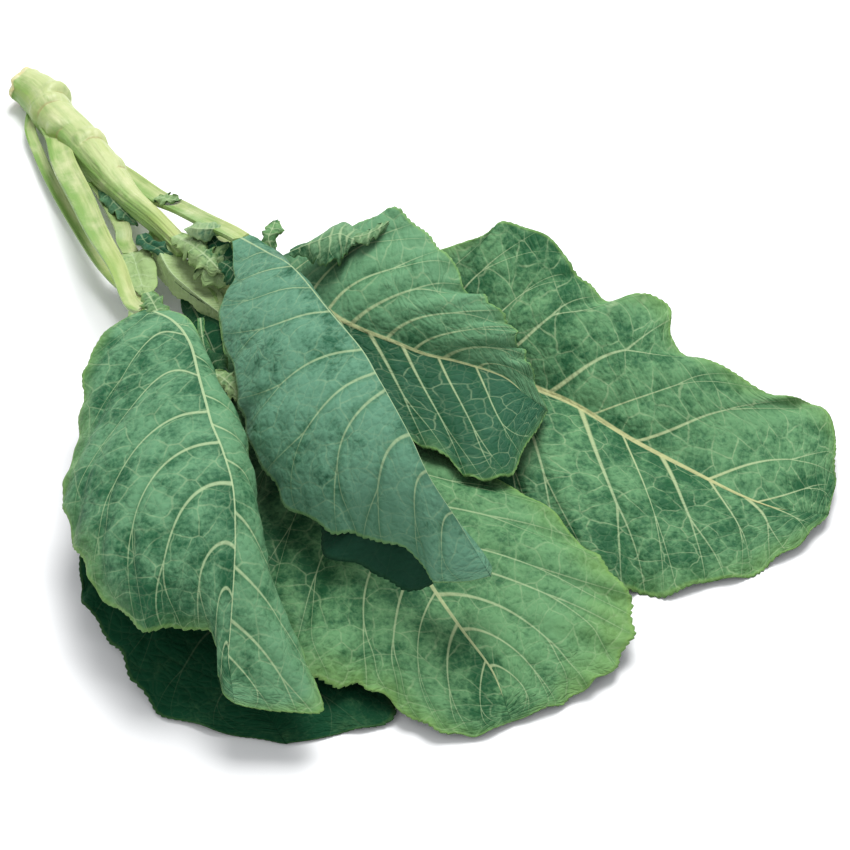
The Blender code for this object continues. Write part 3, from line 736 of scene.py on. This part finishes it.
def ragged_edge(points, across, border, fade, tooth, frill):
    """Points with teeth and frills at their edge, and the steps ahead and right and the normal.

    border is the distance in mm along the edge. The teeth are a saw of changing length and
    the lobes between them a slow sine, both outward; a frill is two crossed sines along the
    normal. Each grows as a power of the distance out, and fade is 0 at both ends.
    """
    out = np.abs(across)
    outward = np.where(
        across[..., None] < 0, points[:, :1] - points[:, 1:2], points[:, -1:] - points[:, -2:-1])
    saw = (border / TOOTH_STEP + 0.5 * np.sin(border / 19.0) + 0.3 * np.sin(border / 7.3)) % 1.0
    size = 0.55 + 0.45 * np.sin(border / 11.0 + 2.0 * np.sin(border / 31.0))
    lobe = 0.6 * np.sin(border / 6.1 + 1.7 * np.sin(border / 17.0)) * out ** 12
    teeth = tooth * (1.0 - saw ** 1.5) * size * out ** 50
    points = points + unit(outward) * ((teeth + lobe) * fade)[..., None]
    ahead = np.gradient(points, axis=0)
    right = np.gradient(points, axis=1)
    normal = unit(np.cross(right, ahead))
    wave = np.sin(border / 4.1 + 1.5 * np.sin(border / 13.0)) * np.sin(border / 23.0 + 1.0)
    points = points + normal * (frill * wave * fade * out ** 9)[..., None]
    return points, ahead, right, normal


def blade_surfaces(leaf, rows, columns, sizes):
    """Upper and lower points of a blade in mm, and the numbers that its finish reads.

    The sheet is moved out by teeth and waved by frills at its edge, puffed up between the
    veins and raised on them. The lower side follows, with the thick rib below.
    """
    spread = np.linspace(-1.0, 1.0, columns + 1)
    across = np.sign(spread) * np.abs(spread) ** 1.3
    along, across = np.meshgrid(np.linspace(0.0, 1.0, rows + 1), across, indexing="ij")
    shape = (*along.shape, 3)
    out = np.abs(across)
    index = along * (len(leaf["rows"]) - 1)
    points = leaf_points(leaf, along.ravel(), across.ravel()).reshape(shape)
    middle = columns // 2

    # Distances from the rib and along the edges
    width = reach_along(points, 1)
    from_rib = np.abs(width - width[:, middle:middle + 1])
    length = reach_along(points, 0)
    border = np.where(across < 0, length[:, :1], length[:, -1:] + EDGE_SHIFT)
    fade = np.clip(np.sin(np.pi * along), 0.0, 1.0) ** 0.5
    tooth = sizes.tooth * min(leaf["base"] / TOOTH_BASE, 1.0)
    points, ahead, right, normal = ragged_edge(points, across, border, fade, tooth, sizes.frill)

    # Where every point lies among the side veins
    sideways = unit(right)
    sheer = ahead - sideways * np.sum(ahead * sideways, axis=-1, keepdims=True)
    lanes = []
    for side in (0, 1):
        lane, strength = side_veins(leaf, side, index, out)
        pitch = np.linalg.norm(sheer, axis=-1) / np.maximum(np.gradient(lane, axis=0), 1e-4)
        lanes.append(np.stack([lane, pitch, strength], -1))
    lane, pitch, strength = np.moveaxis(np.where(across[..., None] < 0, *lanes), -1, 0)

    # Relief above and below
    gap, thick = vein_distance(lane, pitch, strength, out)
    rib_width = RIDGE * leaf["base"] * (1.0 - RIB_TAPER * along) + 0.3
    rib = np.exp(-(from_rib / rib_width) ** 2)
    ridge = np.exp(-(gap / thick) ** 2) * (1.0 - rib)
    off_rib = 1.0 - np.exp(-(from_rib / RIB_CLEAR) ** 2)
    lane_gap = np.abs(lane - np.round(lane))
    arch = sizes.arch * np.minimum(pitch, ARCH_LIMIT) * (1.0 - (1.0 - 2.0 * lane_gap) ** 2)
    arch = arch * (0.8 + 0.4 * lumps(points, SLOW_LUMP))
    pucker = lumps(points, PUCKER) + 0.35 * lumps(points, FINE_PUCKER)
    pucker = pucker * (1.0 - np.exp(-(gap / VEIN_CLEAR) ** 2))
    puff = (arch + sizes.puff * pucker) * off_rib * (1.0 - 0.5 * out ** 6)
    above = (puff + sizes.vein * ridge * (1.0 - 0.7 * out) + sizes.rib * rib) * fade
    below = (0.9 * ridge * (1.0 - 0.6 * out)) * fade - puff * fade
    depth, down = rib_drop(leaf, along.ravel(), from_rib.ravel())
    depth, down = depth.reshape(along.shape)[..., None], down.reshape(shape)
    straight = np.where(along == 0.0, 1.0, np.exp(-(from_rib / STRAIGHT) ** 2))[..., None]
    away = unit(down * straight - normal * (1.0 - straight))
    wall = BLADE * (1.0 - 0.45 * out ** 30)
    upper = points - away * above[..., None]
    lower = points + away * (wall + below)[..., None] + down * depth
    upper[..., 2] = np.maximum(upper[..., 2], BLADE)
    lower[..., 2] = np.maximum(lower[..., 2], 0.0)
    lay = np.stack([across, from_rib / rib_width, np.zeros_like(across)], -1)
    flat = np.stack([length, from_rib * np.sign(across), np.zeros_like(across)], -1) * MM
    return upper, lower, dict(lay=lay, flat=flat, vein_left=lanes[0], vein_right=lanes[1])


def put_attribute(mesh, name, values):
    """Store a number or a vector for every point of a mesh."""
    kind, key = ("FLOAT_VECTOR", "vector") if values.ndim == 2 else ("FLOAT", "value")
    layer = mesh.attributes.new(name, kind, "POINT")
    layer.data.foreach_set(key, values.astype(np.float32).ravel())


def make_mesh(name, points, faces, numbers):
    """A mesh in metres from points in mm and rows of corners, without the unused points."""
    used, corners = np.unique(np.concatenate([face.ravel() for face in faces]), return_inverse=True)
    sizes = np.concatenate([np.full(len(face), face.shape[1]) for face in faces])
    mesh = bpy.data.meshes.new(name)
    mesh.vertices.add(len(used))
    mesh.loops.add(len(corners))
    mesh.polygons.add(len(sizes))
    mesh.vertices.foreach_set("co", ((points[used] - MIDDLE) * MM).astype(np.float32).ravel())
    mesh.loops.foreach_set("vertex_index", corners.ravel().astype(np.int32))
    mesh.polygons.foreach_set("loop_start", (np.cumsum(sizes) - sizes).astype(np.int32))
    mesh.update(calc_edges=True)
    for key, values in numbers.items():
        put_attribute(mesh, key, values[used])
    mesh.validate()
    mesh.shade_smooth()
    return mesh


def sheet_mesh(name, upper, lower, numbers):
    """Close an upper and a lower grid round their edges; the last row folds on itself at the tip."""
    rows, columns = upper.shape[:2]
    count = rows * columns
    ids = np.arange(count).reshape(rows, columns)
    middle = columns // 2
    ids[-1, middle + 1:] = ids[-1, :middle][::-1]
    top = np.stack([ids[:-1, :-1], ids[:-1, 1:], ids[1:, 1:], ids[1:, :-1]], -1).reshape(-1, 4)
    border = np.concatenate([ids[::-1, 0], ids[0, 1:], ids[1:, -1]])
    rim = np.stack([border[1:], border[:-1], border[:-1] + count, border[1:] + count], -1)
    points = np.concatenate([upper.reshape(-1, 3), lower.reshape(-1, 3)])
    both = {key: np.concatenate([value.reshape(count, -1)] * 2) for key, value in numbers.items()}
    both["lay"][count:, 2] = 1.0
    return make_mesh(name, points, [top, top[:, ::-1] + count, rim], both)


def tube_mesh(name, rings, numbers):
    """Close a tube of rings with a point at each end: the first and last rings shrink to it."""
    count, sides = rings.shape[:2]
    ids = np.arange(count * sides).reshape(count, sides)
    ahead = np.roll(ids, -1, axis=1)
    wall = np.stack([ids[1:-2], ids[2:-1], ahead[2:-1], ahead[1:-2]], -1).reshape(-1, 4)
    start = np.stack([np.full(sides, ids[0, 0]), ids[1], ahead[1]], -1)
    end = np.stack([np.full(sides, ids[-1, 0]), ahead[-2], ids[-2]], -1)
    flat = {key: value.reshape(count * sides, -1).squeeze() for key, value in numbers.items()}
    return make_mesh(name, rings.reshape(-1, 3), [wall, start, end], flat)


def finish_piece(name, mesh, material, nodes):
    """Show a piece in place of its plain solid."""
    piece = bpy.data.objects.new(name, mesh)
    mesh.materials.append(material)
    bpy.context.scene.collection.objects.link(piece)
    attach(piece, BODY)
    if nodes:
        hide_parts(*nodes)
    return piece


def blade_finish(
        name, colours, light, bloom=0.1, margin=0.1, clear=0.2, rib=0.4, tan=0.0, young=0.0, shade=0.0):
    """Waxy green between pale veins: the side veins of the piece, a net of small ones, a margin."""
    made = Finish(name)
    across, from_rib, under = made.split(made.attribute("lay"))
    left, right = made.attribute("vein_left"), made.attribute("vein_right")
    lane, pitch, strength = made.split(made.mix_vectors(across > 0.0, left, right))
    out = abs(across)
    spot = made.place()
    flat = made.attribute("flat")

    # Side veins with their forks, as in vein_distance
    wobble = made.noise(spot, 90.0, 1.0) - 0.5
    nearest = abs(lane - made.maths("ROUND", lane))
    fork = made.maths("MAXIMUM", out - FORK_AT, 0.0) * strength * FORK_SPREAD
    gap = abs(abs(nearest - fork) * pitch + wobble * 0.6 * out)
    width = ((1.0 - out) ** 1.3 * VEIN_NEAR + VEIN_FAR) * strength
    vein = made.ease(gap, width * 1.25, width * 0.35) * (1.0 - 0.65 * out ** 2.0)
    halo = made.ease(gap, width * 2.0 + 3.0, width)
    midrib = made.ease(from_rib, 1.15 * rib, 0.7 * rib)

    # The net between them: flat cells of about 15 mm and 5 mm with wavering, broken borders
    shift = made.vectors("SUBTRACT", made.noise(flat, 40.0, 3.0, output="Color"), (0.5, 0.5, 0.5))
    wavy = made.vectors("MULTIPLY_ADD", shift, (0.012, 0.012, 0.012), flat)
    wide = made.cells(wavy, NET_WIDE)
    fine = made.cells(wavy, NET_FINE)
    broken = made.ease(made.noise(flat, 75.0, 2.0), 0.36, 0.62)
    net = made.ease(wide, 0.045, 0.010) * (0.25 + 0.75 * broken)
    mesh = made.ease(fine, 0.10, 0.02) * (1.0 - 0.7 * broken)

    # Tones of the blade, with painted sheen and painted light and shade
    patch = made.noise(spot, PATCH, 3.0, 0.55)
    blotch = made.noise(spot, BLOTCH, 4.0, 0.65)
    speckle = made.noise(spot, SPECKLE, 3.0, 0.6)
    # Painted light and shade: each side of the rib is made lighter or darker by its own amount
    painted_side_light = (across > 0.0) * (light[1] - light[0]) + light[0]
    cushion = made.ease(wide, 0.0, 0.35)
    cloud = (patch - 0.5) * 1.5 + (blotch - 0.5) * 2.3 + (speckle - 0.5) * 1.3
    tone = cloud + painted_side_light + (0.5 - cushion) * 0.16 - (1.0 - out) ** 3.0 * 0.28
    deep = blend(colours.deep, colours.shadow, 0.8 * bloom)
    light_green = blend(colours.light, colours.bloom, 0.9 * bloom)
    colour = made.mix(made.ease(tone, -0.10, 0.94), deep, light_green)
    # Painted shade: where a side's light is below 0 it is darkened towards the underside's colour
    colour = made.mix(made.ease(painted_side_light, 0.0, -1.0), colour, colours.under)
    # Patches of wax bloom and painted sheen: they mix the blade towards the bluish bloom colour
    wax_and_sheen = made.ease(blotch * 0.7 + patch * 0.6, 0.50, 0.90)
    colour = made.mix(wax_and_sheen * (0.35 * bloom), colour, colours.bloom)
    rim = made.ease(out + (patch - 0.5) * 0.7, 0.95 - 0.35 * margin, 1.10)
    colour = made.mix(rim * margin, colour, colours.margin)
    colour = made.mix(halo * 0.30, colour, colours.deep)
    colour = made.mix(made.ease(cloud, -0.7, 0.1) * young, colour, colours.young)
    colour = made.mix(mesh * 0.08, colour, colours.vein)
    colour = made.mix(net * (0.35 * clear), colour, colours.vein)
    side = made.mix((1.0 - out) ** 3.0 * tan * 0.5, colours.vein, colours.tan)
    colour = made.mix(vein * (0.35 + 0.5 * clear), colour, side)
    middle = made.mix(tan * 0.85, colours.vein, colours.tan)
    colour = made.mix(midrib * (0.55 + 0.35 * clear), colour, middle)
    line = made.ease(out, 0.972, 0.992)
    colour = made.mix(line * 0.45, colour, colours.margin)
    # Painted shade: shade darkens the whole blade towards the underside's colour and dulls its gloss
    colour = made.mix(shade, colour, colours.under)
    # Painted shade: the lower side of every blade takes the dark underside colour
    colour = made.mix(under * 0.95, colour, colours.under)

    rough = 0.50 + 0.20 * blotch + wax_and_sheen * 0.06 - vein * 0.05
    height = cushion * 0.5 + made.ease(fine, 0.0, 0.35) * 0.25 + blotch * 1.5 + speckle * 0.35
    return made.surface(colour, rough, height, 0.0008, Specular_IOR_Level=0.10 * (1.0 - shade))


def stalk_finish(name, colours, green, scars):
    """Pale ribbed skin with green streaks along it, greener and darker on its lower side as painted
    shade, dry brown marks, and a cream cut end.
    """
    made = Finish(name)
    skin = made.attribute("skin")
    low, cap, scar = made.split(made.attribute("parts"))
    streak = made.noise(skin, 420.0, 4.0, 0.6)
    broad = made.noise(skin, 110.0, 3.0, 0.55)
    spot = made.place()
    mottle = made.noise(spot, 55.0, 4.0, 0.6)
    # Painted shade: low, the stalk's lower side, pushes the skin towards the darker green
    tone = made.ease(streak * 0.9 + broad * 0.9 + (green - 0.75) + low * 1.10, 0.45, 1.15)
    colour = made.mix(tone, colours.pale, colours.green)
    pale = made.ease(mottle, 0.45, 0.75)
    colour = made.mix(pale * 0.40, colour, colours.pith)
    olive = made.ease(made.noise(skin, 75.0, 3.0), 0.52, 0.70)
    colour = made.mix(olive * 0.35, colour, colours.olive)
    marks = made.ease(scar + mottle * 0.5, 0.85, 1.25)
    colour = made.mix(marks * scars, colour, colours.scar)
    specks = made.ease(made.noise(spot, 330.0, 2.0), 0.70, 0.78)
    colour = made.mix(specks * 0.35, colour, colours.scar)
    torn = made.noise(spot, 260.0, 3.0)
    wet = made.mix(made.ease(torn, 0.40, 0.62), colours.pith, colours.cut)
    wet = made.mix(made.ease(torn, 0.62, 0.74), wet, colours.scar)
    colour = made.mix(made.ease(cap + mottle * 0.4, 0.6, 1.0) * 0.8, colour, wet)
    rough = 0.36 + 0.18 * streak + cap * 0.25
    height = streak * 0.8 + broad * 0.8 + mottle * 0.8 + torn * cap * 2.0
    return made.surface(colour, rough, height, 0.0008, Specular_IOR_Level=0.45)


def floor_finish(colour):
    """Smooth pale board with the faintest mottle."""
    made = Finish("pale_surface")
    spot = made.place()
    cloud = made.noise(spot, 3.0, 2.0)
    shade = made.mix(cloud * 0.5, colour, [channel * 0.99 for channel in colour])
    return made.surface(shade, 0.6 + 0.1 * cloud, cloud, 0.0001, Specular_IOR_Level=0.2)


def tube_rings(path, place, share, push, sides, section):
    """Rings of a tube in mm, each with its place along, share of the size and push ahead.

    A ring stands square to the path, with its angle counted from the right side through
    the top; section turns along, angle and size into the distance out and up.
    """
    along = place
    place, share, push = place[:, None], share[:, None], push[:, None]
    angle = 2.0 * np.pi * np.linspace(0.0, 1.0, sides, endpoint=False)[None]
    last = len(path) - 1
    spot = curve_through(path, along * last)
    ahead = curve_through(path, np.minimum(along + STEP, 1.0) * last)[:, 0:3]
    forward = unit(ahead - curve_through(path, np.maximum(along - STEP, 0.0) * last)[:, 0:3])
    right = unit(np.cross(forward, (0.0, 0.0, 1.0)))
    up = np.cross(right, forward)
    out, height = section(place + 0.0 * angle, angle + 0.0 * place, spot[:, 3:4] + 0.0 * angle)
    points = spot[:, None, 0:3] + right[:, None] * (out * share)[..., None]
    points = points + up[:, None] * (height * share)[..., None]
    points = points + forward[:, None] * (push + 0.0 * angle)[..., None]
    points[..., 2] = np.maximum(points[..., 2], 0.0)
    return points, angle + 0.0 * place


def scar_marks(along, angle):
    """For each scar, 0 to 1: a ledge across the side that the leaf came off, and the groove
    behind it. Each is a bell along the stalk times a bell round it."""
    for at, degrees, height in SCARS:
        turn = np.cos(angle - np.radians(degrees))
        facing = np.exp(-((1.0 - turn) / 0.55) ** 2)
        bow = at + 0.020 * (1.0 - turn)
        ledge = np.exp(-((along - bow) / 0.020) ** 2) * facing
        groove = np.exp(-((along - bow - 0.026) / 0.007) ** 2) * facing
        yield ledge, groove, height


def stalk_section(along, angle, size):
    """A circle with ledges at the leaf scars, lengthwise ribs, knobs near the cut and swellings."""
    radius = size * (1.0 - 0.08 * np.exp(-((along - 0.05) / 0.03) ** 2))
    for ledge, groove, height in scar_marks(along, angle):
        radius = radius + height * (1.1 * ledge - 0.55 * groove)
    ribs = 0.16 * np.sin(11.0 * angle + 5.0 * along) + 0.10 * np.sin(23.0 * angle - 7.0 * along)
    radius = radius + ribs * (0.4 + along)
    knob = np.sin(3.0 * angle + 1.0) + 0.6 * np.sin(7.0 * angle + 60.0 * along)
    radius = radius + 0.9 * knob * np.exp(-((along - 0.02) / 0.03) ** 2)
    swell = np.sin(3.0 * angle + 9.0 * along) * np.sin(14.0 * along)
    radius = radius + 0.5 * swell + 0.3 * np.sin(2.0 * angle - 31.0 * along) * (1.0 - along)
    return radius * np.cos(angle), radius * np.sin(angle)


def petiole_section(along, angle, size):
    """Round below with fine ribs, and a shallow channel between two rims on top."""
    size = size * (1.0 + 0.30 * np.exp(-(along / 0.07) ** 2))
    low = np.minimum(np.sin(angle), 0.0) * PETIOLE_ARCH
    top = np.maximum(np.sin(angle), 0.0)
    rim = 0.42 * (np.sqrt(top) - np.sin(angle) ** 2)
    ribs = 1.0 + 0.022 * np.sin(13.0 * angle + 4.0 * along) + 0.02 * np.sin(5.0 * angle - 9.0 * along)
    return size * np.cos(angle) * ribs, size * (low * ribs + np.where(top > 0.0, rim, 0.0))


def petiole_path(leaf, points):
    """A leaf stalk's points, ended by a last stretch in line with the blade's rib."""
    rib = np.array(leaf["rows"][0][0], float)
    ahead = unit(np.array(leaf["rows"][1][0], float) - rib)
    near = rib - ahead * LAST_STRETCH
    end = rib + ahead * 0.6
    return [*points, (*near, leaf["base"]), (*end, leaf["base"])]


def skin_numbers(points, angle, cap=0.0, scar=0.0):
    """What a stalk's finish reads: places on its skin, drawn out along it, and its parts.

    The skin's coordinates are a share of the length along it and a circle round it.
    """
    length = reach_along(points.mean(axis=1, keepdims=True), 0) * MM
    radius = np.linalg.norm(points - points.mean(axis=1, keepdims=True), axis=-1) * MM
    skin = [length * SKIN_STRETCH + 0.0 * angle, radius * np.cos(angle), radius * np.sin(angle)]
    # low is the lower side, which the finish paints greener and darker as painted shade
    low = (0.5 + 0.5 * np.cos(angle + 0.35)) ** 2
    parts = [low, cap + 0.0 * angle, scar + 0.0 * angle]
    return dict(skin=np.stack(skin, -1), parts=np.stack(parts, -1))


class COLLARD_OT_stalk(bpy.types.Operator):
    """Make the thick pale stalk with its ragged cut end"""
    bl_idname = "collard.stalk"
    bl_label = "Stalk"

    def execute(self, context):
        sides, body_rings, cap_rings = 120, 240, 24
        inward = np.sin(np.linspace(0.0, 0.5 * np.pi, cap_rings))
        widen = np.minimum(np.arange(body_rings) / 4.0, 1.0)
        place = np.concatenate([
            np.full(cap_rings, CUT), np.linspace(CUT, 1.0, body_rings), [1.0, 1.0]])
        share = np.concatenate([CUT_SHARE * inward, CUT_SHARE + (1.0 - CUT_SHARE) * widen, [0.6, 0.0]])
        push = np.concatenate([-DOME * np.sqrt(1.0 - inward ** 2), np.zeros(body_rings), [1.2, 1.8]])
        rings, angle = tube_rings(STALK, place, share, push, sides, stalk_section)

        # The cut end is torn: its rim runs out and in by three sines
        rag = 1.8 * np.sin(2.0 * angle + 0.8) + 1.2 * np.sin(5.0 * angle)
        rag = rag + 0.7 * np.sin(11.0 * angle + 2.0)
        forward = unit(np.array(STALK[1][0:3], float) - STALK[0][0:3])
        torn = (np.exp(-((place - CUT) / 0.025) ** 2) * share ** 2)[:, None]
        rings = rings + forward * (np.maximum(rag, -0.4) * torn)[..., None]
        cap = np.exp(-(np.maximum(place - CUT, 0.0) / 0.018) ** 2)[:, None]
        scar = sum(groove for _, groove, _ in scar_marks(place[:, None], angle))
        numbers = skin_numbers(rings, angle, cap, scar)
        mesh = tube_mesh("stalk_skin", rings, numbers)
        material = stalk_finish("stalk_pale", context.scene.collard_stalks, 0.34, 0.75)
        finish_piece("stalk_skin", mesh, material, ["stalk"])
        return {"FINISHED"}


class COLLARD_OT_leaf_stalks(bpy.types.Operator):
    """Make the leaf stalks that run from the stalk to the blades"""
    bl_idname = "collard.leaf_stalks"
    bl_label = "Leaf stalks"

    def execute(self, context):
        sides, body_rings = 64, 150
        material = stalk_finish("leaf_stalk_green", context.scene.collard_stalks, 0.52, 0.2)
        place = np.concatenate([[0.0, 0.0], np.linspace(0.0, 1.0, body_rings), [1.0, 1.0]])
        share = np.concatenate([[0.0, 0.5], np.ones(body_rings), [0.5, 0.0]])
        push = np.zeros(len(place))
        for name, (leaf, points) in LEAVES.items():
            path = petiole_path(leaf, points)
            rings, angle = tube_rings(path, place, share, push, sides, petiole_section)
            numbers = skin_numbers(rings, angle)
            mesh = tube_mesh("leaf_stalk_" + name, rings, numbers)
            finish_piece("leaf_stalk_" + name, mesh, material, ["petiole_" + name])
        return {"FINISHED"}


class COLLARD_OT_blades(bpy.types.Operator):
    """Make the six large blades"""
    bl_idname = "collard.blades"
    bl_label = "Blades"

    def execute(self, context):
        sizes = context.scene.collard_blades
        for name, (leaf, _) in LEAVES.items():
            if name == "stub":
                continue
            make_blade("blade_" + name, leaf, sizes.rows, sizes.columns)
        return {"FINISHED"}


class COLLARD_OT_young_leaves(bpy.types.Operator):
    """Make the small leaves, torn scraps and a dark sheet of painted shade round the growing end"""
    bl_idname = "collard.young_leaves"
    bl_label = "Young leaves"

    def execute(self, context):
        sizes = context.scene.collard_blades
        for name, leaf in {"blade_stub": LEAF_STUB, **SPROUTS}.items():
            make_blade(name, leaf, sizes.small_rows, sizes.small_columns)
        for name, leaf in SCRAPS.items():
            make_blade(name, leaf, sizes.small_rows, sizes.small_columns, False)
        return {"FINISHED"}


def make_blade(name, leaf, rows, columns, solid=True):
    """One blade with its own finish, in place of its plain solid if it has one."""
    scene = bpy.context.scene
    upper, lower, numbers = blade_surfaces(leaf, rows, columns, scene.collard_blades)
    mesh = sheet_mesh(name + "_fine", upper, lower, numbers)
    material = blade_finish(name + "_green", scene.collard_leaves, **FINISH[name])
    return finish_piece(name + "_fine", mesh, material, [name] if solid else [])


class COLLARD_OT_stage(bpy.types.Operator):
    """Make the pale floor, the soft lights and the camera"""
    bl_idname = "collard.stage"
    bl_label = "Stage"

    def execute(self, context):
        settings = context.scene.collard_stage
        sides = (-1, -1), (1, -1), (1, 1), (-1, 1)
        mesh = bpy.data.meshes.new("floor")
        mesh.from_pydata([(x * FLOOR_HALF, y * FLOOR_HALF, 0.0) for x, y in sides], [], [(0, 1, 2, 3)])
        floor = bpy.data.objects.new("floor", mesh)
        mesh.materials.append(floor_finish(settings.floor))
        context.scene.collection.objects.link(floor)

        world = bpy.data.worlds.new("soft_sky")
        world.use_nodes = True
        sky = world.node_tree.nodes["Background"]
        sky.inputs["Color"].default_value = (0.97, 0.985, 1.0, 1.0)
        sky.inputs["Strength"].default_value = settings.sky
        context.scene.world = world
        context.scene.view_settings.view_transform = "Standard"

        target = Vector((-MIDDLE[0], -MIDDLE[1], 0.0)) * MM
        for name, spot, size in LAMPS:
            lamp = bpy.data.lights.new(name, "AREA")
            lamp.size = size
            lamp.energy = getattr(settings, name)
            light = bpy.data.objects.new(name, lamp)
            light.location = spot
            light.rotation_euler = (target - Vector(spot)).to_track_quat("-Z", "Y").to_euler()
            context.scene.collection.objects.link(light)

        camera = bpy.data.objects.new("camera", bpy.data.cameras.new("camera"))
        camera.data.lens = settings.lens
        away = Vector((0.0, -np.cos(settings.elevation), np.sin(settings.elevation)))
        camera.location = target + away * settings.distance
        camera.rotation_euler = (np.pi / 2.0 - settings.elevation, 0.0, 0.0)
        context.scene.collection.objects.link(camera)
        context.scene.camera = camera
        return {"FINISHED"}


class COLLARD_PT_panel(bpy.types.Panel):
    """Sizes, colours and a button for each group of pieces"""
    bl_idname = "COLLARD_PT_panel"
    bl_label = "Collard greens"
    bl_space_type = "VIEW_3D"
    bl_region_type = "UI"
    bl_category = "Collards"

    def draw(self, context):
        for key, kind in SETTINGS.items():
            group = getattr(context.scene, key)
            for name in kind.__annotations__:
                self.layout.prop(group, name)
        for operator in OPERATORS:
            self.layout.operator(operator.bl_idname)


SETTINGS = {
    "collard_blades": BladeSizes, "collard_leaves": LeafColours,
    "collard_stalks": StalkColours, "collard_stage": StageSettings}
OPERATORS = (
    COLLARD_OT_stalk, COLLARD_OT_leaf_stalks, COLLARD_OT_blades, COLLARD_OT_young_leaves,
    COLLARD_OT_stage)


def register():
    for kind in (*SETTINGS.values(), *OPERATORS, COLLARD_PT_panel):
        bpy.utils.register_class(kind)
    for key, kind in SETTINGS.items():
        setattr(bpy.types.Scene, key, PointerProperty(type=kind))


def unregister():
    for key in SETTINGS:
        delattr(bpy.types.Scene, key)
    for kind in (COLLARD_PT_panel, *OPERATORS, *SETTINGS.values()):
        bpy.utils.unregister_class(kind)


def main():
    """Make every piece and the stage."""
    register()
    bpy.ops.collard.stalk()
    bpy.ops.collard.leaf_stalks()
    bpy.ops.collard.blades()
    bpy.ops.collard.young_leaves()
    bpy.ops.collard.stage()
    bpy.context.view_layer.update()


if __name__ == "__main__":
    main()
